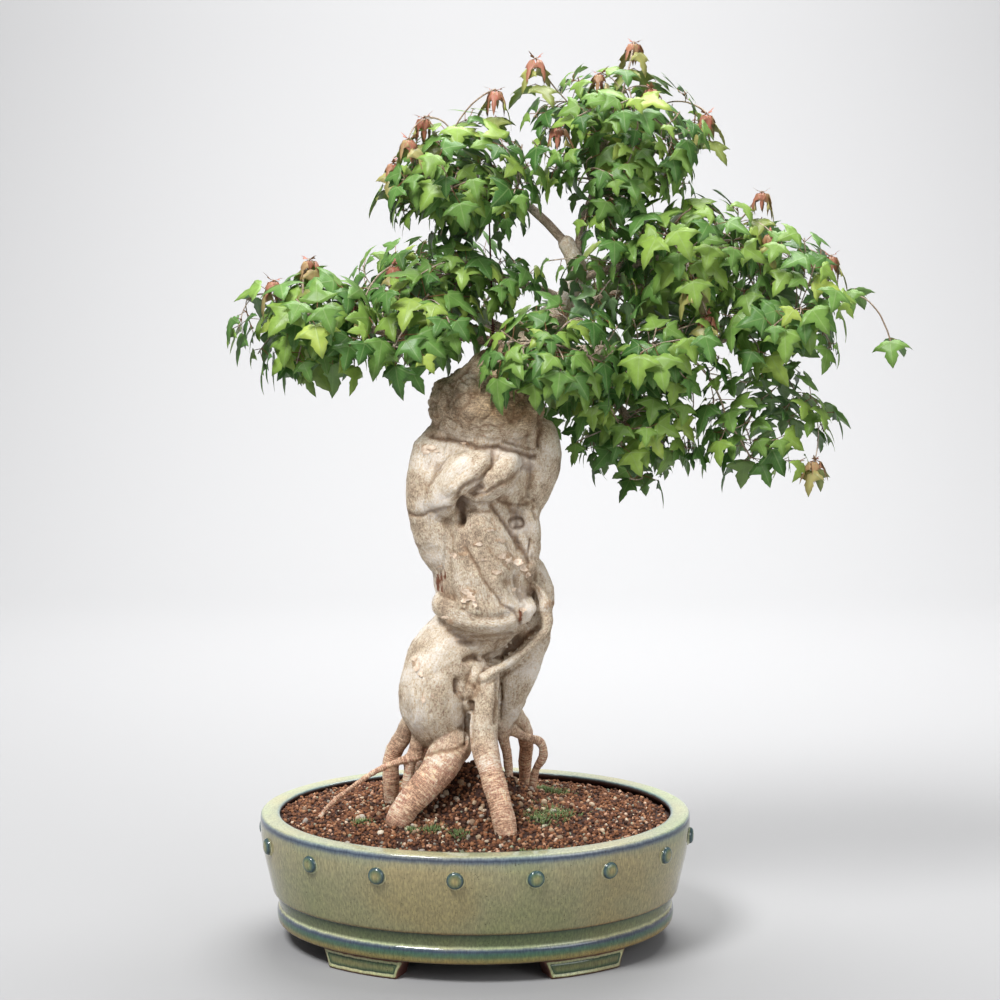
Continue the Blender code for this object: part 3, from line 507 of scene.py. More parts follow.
PEBBLE_SIZES = (2.2, 4.2)
PEBBLE_SHAPE = (1.2, 0.95, 0.7)
PEBBLE_LUMP = 0.16
PEBBLE_LUMPS_FINE = 1.7
PEBBLE_KINDS = [1.0, 0.8]
PEBBLE_SPREAD = (74, 52)
PEBBLE_MIDDLE = (-6, -46)
PEBBLE_REACH = 0.86
PEBBLE_PROUD = 0.3
SOIL_SEED = 2024
draw = np.random.default_rng(SOIL_SEED)


def soil_height(x, y):
    """The height of the soil over a place in mm from the pot's middle."""
    x, y = np.asarray(x, float), np.asarray(y, float)
    reach = (x / (POT_HALF[0] - RIM_WIDTH)) ** 2 + (y / (POT_HALF[1] - RIM_WIDTH)) ** 2
    spread = (x - SOIL_CONE_AT[0]) ** 2 + (y - SOIL_CONE_AT[1]) ** 2
    grain = [noise.noise((a, b, 0.0)) for a, b in zip(x / SOIL_GRAIN_PITCH, y / SOIL_GRAIN_PITCH)]
    return (SOIL_EDGE + SOIL_MOUND * np.maximum(1.0 - reach, 0.0)
            + SOIL_CONE * np.exp(-spread / SOIL_CONE_WIDTH ** 2)
            + SOIL_LEFT_RISE * np.maximum(-x, 0.0) / POT_HALF[0] + SOIL_GRAIN * np.array(grain))


def random_turns(count, sizes):
    """Random turns of the whole sphere, each scaled by a size, as 3 by 3 matrices."""
    a, b, c, d = draw.normal(size=(4, count))
    long = np.sqrt(a * a + b * b + c * c + d * d)
    a, b, c, d = a / long, b / long, c / long, d / long
    turns = np.array([[1 - 2 * (c * c + d * d), 2 * (b * c - a * d), 2 * (b * d + a * c)],
                      [2 * (b * c + a * d), 1 - 2 * (b * b + d * d), 2 * (c * d - a * b)],
                      [2 * (b * d - a * c), 2 * (c * d + a * b), 1 - 2 * (b * b + c * c)]])
    return np.moveaxis(turns, 2, 0) * np.asarray(sizes)[:, None, None]


def on_soil(count):
    """Random places on the soil, in mm from the pot's middle, evenly spread out to its edge."""
    turns = draw.uniform(0.0, 2 * math.pi, count)
    far = np.sqrt(draw.uniform(0.0, 1.0, count))
    x = (POT_HALF[0] - SOIL_INSET - FROM_WALL) * far * np.cos(turns)
    y = (POT_HALF[1] - SOIL_INSET - FROM_WALL) * far * np.sin(turns)
    return np.stack([x, y, soil_height(x, y)], axis=1)


soil_rings = [(POT_HALF[0] - inset, POT_HALF[1] - inset, height) for inset, height in SOIL_SIDE]
for k in range(SOIL_RINGS):
    share = 1.0 - SOIL_TOP_REACH * k / (SOIL_RINGS - 1)
    soil_rings.append(((POT_HALF[0] - SOIL_INSET) * share, (POT_HALF[1] - SOIL_INSET) * share,
                       SOIL_EDGE - BED_DROP + BED_STEP * k))
bed = raised("soil_bed", SOIL_SIDES, np.array(soil_rings) * MM)
places = mesh_points(bed) / MM
on_top = places[:, 2] > SOIL_EDGE - BED_DROP - BED_STEP
places[on_top, 2] = soil_height(places[on_top, 0], places[on_top, 1]) - BED_DROP
move_points(bed, places * MM + POT_AT)

grains = begun("soil_grains", bpy.ops.mesh.primitive_ico_sphere_add, subdivisions=1, radius=1.0)
move_points(grains, mesh_points(grains) * draw.uniform(*GRAIN_UNEVEN, (12, 1)) * GRAIN_SHAPE)
coarse = grains.copy()
coarse.data = grains.data.copy()
coarse.name = "soil_coarse_grains"
bpy.context.scene.collection.objects.link(coarse)
grain_sizes = draw.uniform(*GRAIN_SIZES, GRAIN_COUNT)
grain_places = on_soil(GRAIN_COUNT)
grain_places[:, 2] -= grain_sizes * draw.uniform(*GRAIN_SUNK, GRAIN_COUNT)
repeat(grains, random_turns(GRAIN_COUNT, grain_sizes * MM), grain_places * MM + POT_AT)

# Bigger grains gather near the roots and along the front edge, where water has washed them out.
coarse_sizes = draw.uniform(*COARSE_SIZES, COARSE_COUNT)
coarse_places = on_soil(COARSE_COUNT * 3)
off_roots = ((coarse_places[:, :2] - ROOTS_MIDDLE) ** 2).sum(axis=1)
near_roots = np.exp(-off_roots / ROOTS_REACH ** 2)
chance = COARSE_ELSEWHERE + near_roots
coarse_places = coarse_places[np.argsort(draw.uniform(size=COARSE_COUNT * 3) / chance)]
coarse_places = coarse_places[:COARSE_COUNT]
repeat(coarse, random_turns(COARSE_COUNT, coarse_sizes * MM), coarse_places * MM + POT_AT)

pebbles = begun("soil_pebbles", bpy.ops.mesh.primitive_ico_sphere_add, subdivisions=2, radius=1.0)
lumps = mesh_points(pebbles)
lumps *= 1.0 + PEBBLE_LUMP * np.array([noise.noise(p) for p in lumps * PEBBLE_LUMPS_FINE])[:, None]
move_points(pebbles, lumps * PEBBLE_SHAPE)
pebble_sizes = draw.uniform(*PEBBLE_SIZES, PEBBLE_COUNT)
pebble_sizes *= draw.choice(PEBBLE_KINDS, PEBBLE_COUNT)
pebble_spread = draw.normal(size=(PEBBLE_COUNT, 2)) * PEBBLE_SPREAD + PEBBLE_MIDDLE
pebble_limit = np.hypot(*(pebble_spread / POT_HALF).T)
pebble_spread /= np.maximum(pebble_limit / PEBBLE_REACH, 1.0)[:, None]
pebble_places = np.column_stack([pebble_spread, soil_height(*pebble_spread.T) + PEBBLE_PROUD])
repeat(pebbles, random_turns(PEBBLE_COUNT, pebble_sizes * MM), pebble_places * MM + POT_AT)
pebbles.data.shade_smooth()

# Fired clay grains are matt and darker where they are damp. Each grain's own number picks its
# colour: most are red-brown, some tan or pink, a few are white pumice, grey or greenish grit.
GRAIN_COLOURS = [
    (0.0, "#3a2215"), (0.25, "#553322"), (0.50, "#70452c"), (0.72, "#845536"), (0.85, "#976746"),
    (0.91, "#b38764"), (0.945, "#c79e84"), (0.965, "#d6c8b0"), (0.975, "#98a084"),
    (0.99, "#8a8378")]


def grit(name, colours, rough):
    """Grains or stones, each with one colour by its own number and a fine grain of its own."""
    made, tree, shader = new_finish(name)
    where = node(tree, "TexCoord", {}, {}).outputs["Object"]
    tone = node(tree, "Attribute", {"attribute_name": "tone"}, {}).outputs["Fac"]
    own = node(tree, "ValToRGB", {"stops": colours}, {"Fac": tone})
    fine = node(tree, "TexNoise", {"Scale": 900.0, "Detail": 3.0}, {"Vector": where})
    mottle = node(tree, "ValToRGB", {"stops": [(0.3, "#8e8e8e"), (0.7, "#d0d0d0")]}, {"Fac": fine})
    mixed = node(tree, "MixRGB", {"blend_type": "OVERLAY", "Fac": 0.7},
                 {"Color1": own, "Color2": mottle})
    skin = node(tree, "Bump", {"Strength": 0.5, "Distance": 0.4 * MM}, {"Height": fine})
    fit(tree, shader, {"Roughness": rough}, {"Base Color": mixed, "Normal": skin})
    return made


fired_grit = grit("fired clay grit", GRAIN_COLOURS, 0.88)
damp_earth = grit("damp fired clay dust", [(0.0, "#2b1812"), (1.0, "#4a2c20")], 0.92)
river_stone = grit("water-worn gravel", [
    (0.0, "#7d6552"), (0.3, "#a58a6e"), (0.55, "#c8b497"), (0.8, "#9b9288"), (1.0, "#d9cfbd")], 0.7)
for piece, finish, count in ((bed, damp_earth, 1), (grains, fired_grit, GRAIN_COUNT),
                             (coarse, fired_grit, COARSE_COUNT),
                             (pebbles, river_stone, PEBBLE_COUNT)):
    tones = draw.uniform(0.0, 1.0, count)
    mark(piece, "tone", np.repeat(tones, len(piece.data.vertices) // count))
    piece.data.materials.append(finish)
    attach(piece, "root")
    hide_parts("soil")

# Moss. Living cushions of fine upright stems that have grown on the soil by the roots, and loose
# sprigs near the front edge. A stem is one slender three-sided spike. A tuft is its x and y from
# the middle of the pot and its spread in mm, and its number of stems.
MOSS_TUFTS = [
    (-42, -92, 14, 120), (-16, -104, 12, 110), (-64, -92, 8, 60), (88, -36, 24, 240),
    (66, -58, 18, 170), (-118, -60, 12, 90), (80, 60, 24, 240), (-60, 100, 24, 240)]
SPRIGS = [
    (52, -150, 7, 46), (66, -147, 6, 40), (78, -143, 5, 30), (96, -139, 5, 28),
    (114, -132, 4, 20), (-12, -154, 4, 18), (140, -120, 5, 24)]
TUFT_SPREAD = 0.45
TUFT_SUNK = 1.0
TUFT_HIGH = 1.6
STEM_LENGTHS = (3.0, 6.5)
STEM_RADIUS = 0.55
STEM_SLANT = 0.8
STEM_STRAY = 0.35
STEM_TONES = (0.5, 0.22)
moss = begun("soil_moss", bpy.ops.mesh.primitive_cone_add, vertices=3, radius1=1.0, radius2=0.0,
             depth=1.0, location=(0.0, 0.0, 0.5))
settle(moss)
stem_places, stem_turns, stem_tones = [], [], []
for x, y, spread, count in MOSS_TUFTS + SPRIGS:
    off = draw.normal(size=(count, 2)) * spread * TUFT_SPREAD
    at = np.column_stack([x + off[:, 0], y + off[:, 1]])
    tall = np.exp(-(off ** 2).sum(axis=1) / spread ** 2)
    stem_places.append(np.column_stack([at, soil_height(*at.T) - TUFT_SUNK + TUFT_HIGH * tall]))
    lean = np.column_stack([off / spread * STEM_SLANT, np.ones(count)])
    lean = unit(lean + draw.normal(size=(count, 3)) * STEM_STRAY)
    side = unit(np.cross(lean, draw.normal(size=(count, 3))))
    long = draw.uniform(*STEM_LENGTHS, count)[:, None]
    stem_turns.append(np.stack([side * STEM_RADIUS, np.cross(lean, side) * STEM_RADIUS,
                                lean * long], axis=-1))
    stem_tones.append(np.clip(draw.normal(*STEM_TONES, count), 0.0, 1.0))
repeat(moss, np.concatenate(stem_turns) * MM, np.concatenate(stem_places) * MM + POT_AT)
stem_tones = np.concatenate(stem_tones)
mark(moss, "tone", np.repeat(stem_tones, len(moss.data.vertices) // len(stem_tones)))
moss.data.materials.append(grit("living moss", [
    (0.0, "#3f5030"), (0.35, "#5b7340"), (0.7, "#7d9258"), (1.0, "#a0ad80")], 0.8))
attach(moss, "root")
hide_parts("soil")

# Trunk. Old maple wood in one piece: several stems that fused long ago, folded over each other
# like muscle, on raised roots that spread into the soil. The bark is thin and pale, flakes in
# small plates, and is brown and rough only where the stem was once cut back.
# Each limb is a run of x, y, z and radius in mm from the middle of the pot.
TRUNK_LIMBS = {
    "body": [
        (-30, -8, 228, 28), (-38, -13, 242, 34), (-45, -20, 266, 37), (-36, -14, 300, 37),
        (-14, -4, 328, 36), (8, -2, 354, 47), (10, -2, 378, 53), (8, 2, 405, 54), (4, 6, 435, 57),
        (2, 8, 470, 60), (8, 6, 505, 62), (12, 4, 530, 57)],
    "core": [(4, 14, 236, 20), (4, 14, 252, 27), (8, 16, 290, 26), (10, 10, 340, 34)],
    "muscle": [(-2, -34, 472, 15), (2, -38, 442, 22), (8, -34, 410, 31), (12, -30, 378, 35),
               (12, -28, 358, 29)],
    "belly": [(-35, -24, 366, 13), (-18, -38, 360, 15), (4, -46, 355, 16), (25, -44, 355, 16),
              (45, -36, 359, 14), (54, -26, 364, 12)],
    "right leg": [
        (56, 12, 397, 19), (64, 10, 374, 20.5), (62, 10, 345, 21), (54, 10, 312, 23),
        (42, 8, 282, 23), (35, 6, 258, 20), (33, 6, 243, 15)],
    "back arc": [(-14, 22, 352, 16), (-40, 24, 330, 13), (-58, 20, 306, 14), (-62, 14, 278, 16)],
    "arched root": [
        (62, -18, 387, 4.4), (72, -18, 371, 5), (76, -16, 356, 5), (74, -18, 337, 5),
        (63, -26, 327, 5), (50, -32, 315, 5), (35, -34, 305, 5), (20, -38, 298, 5.2),
        (9, -40, 289, 5.4)],
    "twisted wood": [(4, -26, 304, 9), (-1, -30, 288, 9.5), (-6, -32, 272, 9.5), (-3, -34, 257, 8)],
    "left shoulder": [
        (-34, -10, 530, 28), (-44, -18, 500, 28), (-45, -20, 476, 27), (-41, -16, 450, 27),
        (-30, -10, 420, 28)],
    "left lobe": [(2, -42, 514, 21), (-14, -48, 500, 22), (-31, -44, 480, 19)],
    "middle lobe": [(36, -48, 514, 14), (20, -54, 496, 15), (2, -50, 482, 12)],
    "right bulge": [(62, -8, 542, 25), (67, -8, 518, 25), (62, -10, 492, 21), (54, -14, 464, 16)],
    "right column": [(54, -24, 462, 15), (55, -22, 432, 15), (52, -18, 404, 15)],
    "head": [(-20, -8, 572, 34), (4, -20, 577, 44), (35, -14, 575, 41), (20, -8, 604, 36)],
    "head knob": [(-30, -14, 588, 17), (-35, -14, 574, 16)],
    "neck": [(40, 0, 590, 34), (52, 2, 616, 30), (66, 6, 642, 22), (82, 8, 666, 15),
             (97, 8, 688, 11.5), (107, 8, 706, 10.5), (104, 8, 724, 10), (95, 8, 742, 10)],
}
ROOTS = {
    "front left": [
        (-24, -30, 217, 22), (-37, -46, 195, 19), (-51, -55, 180, 17), (-68, -62, 162, 15.5),
        (-80, -66, 143, 14)],
    "left": [(-56, -2, 250, 16), (-74, 4, 222, 10.5), (-89, 6, 196, 9.5), (-91, 6, 165, 9),
             (-90, 5, 140, 8)],
    "left thin": [
        (-54, -12, 226, 13), (-68, -16, 196, 6.5), (-72, -18, 165, 5.5), (-73, -18, 145, 5)],
    "left aerial": [
        (-58, -18, 202, 6), (-86, -21, 194, 3.8), (-113, -24, 181, 3.4), (-140, -27, 162, 3.1),
        (-158, -28, 146, 3), (-166, -28, 133, 3)],
    "front middle": [
        (17, -26, 296, 9), (14, -34, 283, 12), (11, -40, 266, 14), (10, -46, 246, 14.5),
        (10, -54, 225, 14.5), (14, -64, 206, 13.5), (20, -74, 188, 13), (27, -86, 164, 12.5),
        (32, -94, 142, 12), (34, -96, 134, 11)],
    "front right": [(26, 4, 236, 14), (31, 8, 212, 6.5), (35, 14, 188, 5.6), (37, 17, 152, 5)],
    "right": [(34, 22, 242, 16), (50, 34, 222, 9.5), (55, 44, 200, 8), (54, 56, 175, 7.5),
              (54, 59, 150, 7)],
    "right loop": [
        (30, 12, 228, 9), (52, 20, 213, 5.4), (70, 24, 206, 5.2), (73, 28, 190, 5.2),
        (65, 34, 172, 5), (62, 37, 150, 4.6)],
    "back left": [(-30, 22, 236, 24), (-48, 50, 196, 13), (-66, 70, 164, 10), (-75, 77, 138, 9)],
    "back": [(4, 24, 236, 28), (8, 52, 200, 15), (10, 74, 168, 11), (10, 82, 142, 10)],
}
ROUND_STEPS = 5
LIMB_RESOLUTION = 6
DOME_ANGLES = (30.0, 58.0, 80.0)
DOME_REACH = 0.85
TRUNK_VOXEL = 1.6
TRUNK_SOFTENING = 5


def smooth_path(path, steps):
    """A rounded run through points of x, y, z, radius, with domed ends, in metres."""
    line = smooth_line(path, steps) * MM + (*POT_AT, 0.0)
    rings = []
    for end, inner in ((line[0], line[1]), (line[-1], line[-2])):
        out = (end - inner)[:3] / np.linalg.norm((end - inner)[:3])
        rings.append([(*(end[:3] + out * end[3] * DOME_REACH * math.sin(math.radians(angle))),
                       end[3] * math.cos(math.radians(angle))) for angle in DOME_ANGLES])
    return np.vstack([rings[0][::-1], line, rings[1]])


def rods(name, paths, resolution):
    """Round rods with closed ends along runs of x, y, z, radius in metres, as one mesh."""
    made = begun(name, bpy.ops.curve.primitive_nurbs_path_add)
    made.data.name = name
    made.data.splines.clear()
    made.data.bevel_depth = 1.0
    made.data.bevel_resolution = resolution
    made.data.use_fill_caps = True
    for path in paths:
        line = made.data.splines.new("POLY")
        line.points.add(len(path) - 1)
        line.points.foreach_set("co", np.column_stack([np.array(path)[:, :3],
                                                       np.ones(len(path))]).ravel())
        line.points.foreach_set("radius", np.array(path)[:, 3].copy())
    bpy.ops.object.convert(target="MESH")
    return bpy.context.object


trunk_paths = [smooth_path(path, ROUND_STEPS) for path in [*TRUNK_LIMBS.values(), *ROOTS.values()]]
trunk = rods("trunk_wood", trunk_paths, LIMB_RESOLUTION)
shape_by(trunk, "run together", "REMESH", mode="VOXEL", voxel_size=TRUNK_VOXEL * MM)
shape_by(trunk, "soften joins", "SMOOTH", factor=0.5, iterations=TRUNK_SOFTENING)
bpy.ops.object.shade_smooth()


def mesh_normals(piece):
    """The outward direction at each point of a mesh."""
    return read_points(piece.data.vertex_normals, "vector")


def along_limbs(points, paths):
    """For each point the nearest limb's number, and how far along and round it the point is."""
    best = np.full(len(points), np.inf)
    which = np.zeros(len(points), int)
    grain = np.zeros((len(points), 3))
    for number, path in enumerate(paths):
        run = 0.0
        side = Vector(path[1][:3] - path[0][:3]).orthogonal().normalized()
        for a, b in zip(path, path[1:]):
            step = b[:3] - a[:3]
            long = np.linalg.norm(step)
            axis = step / long
            side = (side - Vector(axis) * side.dot(Vector(axis))).normalized()
            across = np.cross(axis, side)
            part = np.clip((points - a[:3]) @ axis / long, 0.0, 1.0)
            off = points - a[:3] - part[:, None] * step
            gap = np.linalg.norm(off, axis=1) - (a[3] + part * (b[3] - a[3]))
            closer = gap < best
            best[closer] = gap[closer]
            which[closer] = number
            grain[closer] = np.stack([run + part * long, off @ np.array(side), off @ across],
                                     axis=1)[closer]
            run += long
    return which, grain


def noises(points, scale, seed):
    """Smooth noise from -1 to 1 whose lumps are about this many metres across."""
    return np.array([noise.noise(Vector(p)) for p in points / scale + seed])


# The marks of this tree's bark, as they show from the front. A swelling or crease is its rise or
# depth in mm, its half width in pixels and its line in pixels of the photograph, and a swelling
# whose rise is below zero is a hollow. A flake or scar is the middle, half width and half height
# of an oval in pixels.
SWELLINGS = [
    (3.5, 10, [(420, 447), (438, 455), (458, 462), (478, 466)]),
    (3.5, 7, [(484, 458), (480, 470), (470, 480), (458, 488)]),
    (2.5, 12, [(416, 468), (414, 490), (418, 503)]),
    (3.5, 8, [(514, 458), (505, 466), (494, 476)]),
    (3.0, 12, [(553, 430), (554, 448), (546, 475)]),
    (-8.0, 4.5, [(463, 503), (460, 520)]),
    (-4.0, 6, [(480, 487), (472, 494)]),
    (-2.5, 7, [(497, 495), (484, 502), (474, 508)]),
    (-5.0, 7, [(508, 503), (516, 516), (524, 532), (531, 548), (534, 558)]),
    (-2.5, 8, [(528, 470), (524, 486), (520, 498)]),
    (4.0, 10, [(480, 522), (493, 535), (505, 550), (514, 566)]),
    (3.0, 13, [(445, 530), (450, 556), (456, 580), (466, 604)]),
    (2.5, 5, [(496, 581), (510, 603), (519, 615)]),
    (-2.5, 8, [(512, 580), (522, 590), (530, 598)]),
    (3.0, 6, [(452, 621), (474, 625), (500, 625), (518, 620)]),
    (2.5, 6, [(530, 620), (536, 612)]),
    (3.5, 7, [(452, 607), (474, 611), (498, 611), (514, 606)]),
    (-4.0, 6, [(462, 643), (480, 646), (500, 644), (516, 640)]),
    (-4.5, 4, [(466, 660), (475, 657)]),
    (-5.0, 3, [(457, 681), (457, 692)]),
    (3.0, 18, [(418, 664), (417, 690), (430, 718)]),
    (-3.0, 2.6, [(538, 627), (529, 633), (517, 645), (502, 657), (490, 663)]),
    (-4.0, 3, [(498, 684), (500, 699), (498, 710), (497, 722)]),
    (-4.0, 3.5, [(470, 703), (469, 722), (469, 742)]),
    (2.0, 8, [(549, 590), (550, 620), (540, 652), (524, 684)]),
    (3.0, 20, [(478, 398), (500, 405)]),
    (2.6, 3.2, [(543, 606), (546, 620), (545, 630), (535, 641), (522, 653), (508, 663), (494, 671),
                (484, 679)]),
    (-3.5, 4, [(453, 380), (446, 396), (441, 412), (438, 424)]),
    (-4.0, 4, [(543, 418), (541, 430), (538, 446)]),
]
CREASES = [
    (3.4, 2.6, [(430.7, 436.4), (442.9, 438.6), (454.3, 440.5), (464.3, 443.6), (480, 447.6),
                (498.6, 446.8), (508.6, 450), (522.9, 454.3), (534.3, 457.1)]),
    (1.8, 1.6, [(502.9, 441.5), (518, 446), (533, 450)]),
    (2.4, 2.2, [(541.5, 416), (540.7, 428), (537, 445)]),
    (2.2, 2.2, [(492.9, 450.7), (491.4, 466.4), (480, 477.9), (467, 483.6), (460, 488), (457, 498)]),
    (3.4, 3.2, [(463, 500), (460, 510), (460, 524)]),
    (2.0, 2.2, [(520, 470.7), (508.6, 480.7), (497, 486.4), (485.7, 493.6), (471.4, 496.4)]),
    (1.2, 1.6, [(521, 455), (525, 464), (521, 471)]),
    (1.6, 1.8, [(410, 514), (420, 516.4), (430, 511.4), (440, 509.3), (452, 507.5)]),
    (3.0, 2.4, [(491.4, 506.4), (500, 517.9), (508.6, 529.3), (515.7, 540.7), (524.3, 555),
                (530, 563.6)]),
    (1.4, 1.4, [(498.6, 502), (508, 506), (517, 506.4), (534.3, 500.7)]),
    (1.2, 1.3, [(470, 503), (484, 505), (496, 504)]),
    (1.2, 1.3, [(468, 511), (482, 512), (492, 511)]),
    (1.8, 1.6, [(533.6, 500), (532.9, 510.7), (536, 519.3)]),
    (1.8, 1.6, [(531.8, 541), (528.6, 554)]),
    (2.0, 1.5, [(466, 548), (472, 558), (477.9, 568.6), (485, 582.9), (495, 594.3), (502, 604.3),
                (508, 609), (515, 614), (519.3, 622.9)]),
    (0.9, 1.1, [(487, 546), (495, 557), (507.9, 568.6)]),
    (1.8, 1.4, [(469.5, 600), (469.3, 607), (464, 610)]),
    (1.2, 1.6, [(532, 583), (538, 590), (542, 598)]),
    (1.4, 2.4, [(447.9, 631), (459.3, 636.5), (476.4, 638.5), (499.3, 636.5), (512, 634)]),
    (1.2, 1.4, [(483.6, 657), (493.6, 654.3), (500.7, 643)]),
    (2.0, 2.2, [(466, 661), (475, 657.5), (481, 660)]),
    (1.7, 2.2, [(457, 679), (456, 690), (463, 700)]),
    (1.2, 1.4, [(469.3, 683), (476.4, 688.6)]),
    (1.3, 1.6, [(478.6, 677), (479.3, 687), (475, 696), (464, 700.5)]),
    (2.0, 1.6, [(539, 629), (530, 635), (519, 646), (502, 659), (491, 665)]),
    (1.6, 1.4, [(524, 661), (513, 670), (500, 677), (488, 684)]),
    (2.0, 1.8, [(497.9, 684), (499.3, 698.6), (497.9, 707), (496.4, 721)]),
    (1.6, 1.8, [(470.7, 703), (470, 722), (470, 742)]),
    (1.8, 1.8, [(420.7, 756), (435, 751.5), (453.6, 750), (467.9, 743.6)]),
    (2.0, 1.6, [(516 + 6.2 * math.cos(a / 2), 523.6 + 5.2 * math.sin(a / 2)) for a in range(13)]),
    (2.4, 1.6, [(450, 384), (458, 379), (464, 374), (470, 366)]),
    (1.8, 1.4, [(474, 379), (480, 377), (484, 371)]),
    (1.2, 1.3, [(499, 388), (497, 396), (500, 404)]),
    (1.2, 1.3, [(469, 394), (474, 398), (478, 392)]),
    (1.4, 1.4, [(503, 410), (508, 418), (514, 424)]),
]
FLAKES = [
    (429, 450, 6, 4.5), (464.5, 443, 3.5, 1.6), (506, 558, 7, 5), (518, 563, 5, 4),
    (525, 570, 5, 5), (497, 573, 6, 2.4), (470, 594, 6.5, 6), (463, 554, 4, 2.5),
    (478, 544, 5, 2), (520, 611, 4, 3), (529, 637, 2.4, 2.2), (416, 662, 3, 5), (549, 604, 4, 4),
    (452, 620, 4, 2.5), (490, 530, 5, 1.6), (500, 541, 6, 1.8)]
SCARS = [(438.5, 583, 1.8, 8), (442, 577, 1.3, 6), (446.5, 574, 1.5, 5), (518.5, 616, 1.4, 6),
         (443, 588, 1.3, 4)]
FLAKE_RISE = 0.5
FACING_LEAST = 0.05
FACING_FADE = 0.3
CREASE_WANDER = 1.4
WANDER_PITCH = 5.0
CREASE_DARK = 2.6
PATCH_SIZE = 1.1
PATCH_EDGE = 7.0
PATCH_WANDER, PATCH_WANDER_PITCH = 0.5, 5.0
PATCH_FRAY, PATCH_FRAY_PITCH = 0.2, 2.0
SEEN_CELL = 4.0
SEEN_ROW = 4000
SEEN_DEPTH = 16.0
LUMPS = [(26.0, 1.3), (11.0, 0.7), (4.6, 0.4), (2.6, 0.25)]
HEAD_FROM, HEAD_FADE_IN = 540.0, 20.0
HEAD_TO, HEAD_FADE_OUT = 640.0, 40.0
HEAD_LUMPS = [(17.0, 2.6), (7.0, 1.3), (3.2, 0.8)]
HEAD_CRACK_PITCH = 12.0
HEAD_CRACK_SHARP = 7.0
HEAD_CRACK_WANDER = 0.9
HEAD_CRACK_DEPTH = 1.8
HEAD_CRACK_DARK = 0.5
FUSE_ROUNDS = 24
FUSE_PART = 0.8
LEAN_LIMBS = ("arched root", "back arc", "twisted wood", "neck")
FOLD_PITCH = 15.0
FOLD_STRETCH = 3.6
FOLD_DEPTH = 2.2
FOLD_NARROW = 2.6
FOLD_SHARP = 3
FOLD_DARK = 0.2
FOLD_SHIFT = 7.3
FOLD_ON_ROOT = 0.35
FOLD_IN_FRONT = 0.35
FOLD_FACING = 0.4
RING_PITCH = 5.0
RING_RISE = 0.35
RING_SHIFT = 3.1
RING_ON_STEM = 0.3
HOLLOW_ROUNDS = 26
HOLLOW_DEEPEST = 2.4
HOLLOW_IN_HEAD = 0.4
ROOT_TOP, ROOT_FADE = 240.0, 44.0
ROUGH_FROM, ROUGH_TO, ROUGH_FADE = 535.0, 660.0, 40.0
ROUGH_LEFT = 452
ROUGH_LEAST, ROUGH_MOST = 0.4, 0.85
ROUGH_WANDER, ROUGH_WANDER_PITCH = 9.0, 22.0
ROUGH_FRAY, ROUGH_FRAY_PITCH = 4.0, 7.0


def off_line(at, line):
    """How far each place in the photograph is from a bent line, in pixels."""
    far = np.full(len(at), np.inf)
    for a, b in zip(np.array(line, float), np.array(line[1:], float)):
        part = np.clip((at - a) @ (b - a) / ((b - a) @ (b - a)), 0.0, 1.0)
        far = np.minimum(far, np.linalg.norm(at - a - part[:, None] * (b - a), axis=1))
    return far


# The thick stems have run together as they grew, so their joins are rounded out. The roots and the
# thin loose stems keep theirs.
edges = np.empty(len(trunk.data.edges) * 2, np.int32)
trunk.data.edges.foreach_get("vertices", edges)
first_ends, last_ends = edges.reshape(-1, 2).T


def rounded(points, rounds):
    """The trunk's points after each has moved to the middle of its neighbours this many times."""
    neighbours = np.bincount(edges, minlength=len(points))
    for _ in range(rounds):
        total = [np.bincount(first_ends, column[last_ends], len(points))
                 + np.bincount(last_ends, column[first_ends], len(points)) for column in points.T]
        points = np.stack(total, axis=1) / neighbours[:, None]
    return points


skin = mesh_points(trunk)
limb_number, grain = along_limbs(skin, trunk_paths)
is_root = limb_number >= len(TRUNK_LIMBS)
lean = np.isin(limb_number, [list(TRUNK_LIMBS).index(name) for name in LEAN_LIMBS])
fused = np.where(is_root | lean, 0.0, FUSE_PART)[:, None]
skin += rounded(fused, FUSE_ROUNDS // 2) * (rounded(skin, FUSE_ROUNDS) - skin)
move_points(trunk, skin)
outward = mesh_normals(trunk)

# Only what faces the camera and isn't behind other wood takes the marks.
at = seen_at(skin)
depth = np.linalg.norm(skin - CAMERA_AT, axis=1)
cell = np.floor(at / SEEN_CELL).astype(int)
cell = (cell - cell.min(axis=0)) @ [1, SEEN_ROW]
nearest = np.full(cell.max() + 1, np.inf)
np.minimum.at(nearest, cell, depth)
to_camera = CAMERA_AT - skin
facing = (outward * to_camera).sum(axis=1) / depth
seen = (depth < nearest[cell] + SEEN_DEPTH * MM) & (facing > FACING_LEAST)
seen_part = np.where(seen, np.clip(facing / FACING_FADE, 0.0, 1.0), 0.0)

crease, sink, swell = np.zeros((3, len(skin)))
wander = np.stack([noises(skin, WANDER_PITCH * MM, seed) for seed in (61.0, 67.0)], axis=1)
for rise, wide, line in SWELLINGS:
    swell += rise * seen_part * np.exp(-(off_line(at, line) / wide) ** 2)
# Each crease sinks the wood and also marks painted shade there, darker the deeper it is.
for deep, wide, line in CREASES:
    mark_here = seen_part * np.exp(-(off_line(at + CREASE_WANDER * wander, line) / wide) ** 2)
    crease = np.maximum(crease, mark_here * min(deep / CREASE_DARK, 1.0))
    sink = np.maximum(sink, deep * mark_here)


def patches(spots):
    """How much each point lies in one of the oval spots, from 0 to 1."""
    found = np.zeros(len(skin))
    for x, y, wide, high in spots:
        off = np.hypot((at[:, 0] - x) / wide, (at[:, 1] - y) / high)
        off += (PATCH_WANDER * noises(skin, PATCH_WANDER_PITCH * MM, 5.0)
                + PATCH_FRAY * noises(skin, PATCH_FRAY_PITCH * MM, 9.0))
        part = np.clip((PATCH_SIZE - off) * PATCH_EDGE, 0.0, 1.0)
        found = np.maximum(found, np.where(seen, part, 0.0))
    return found


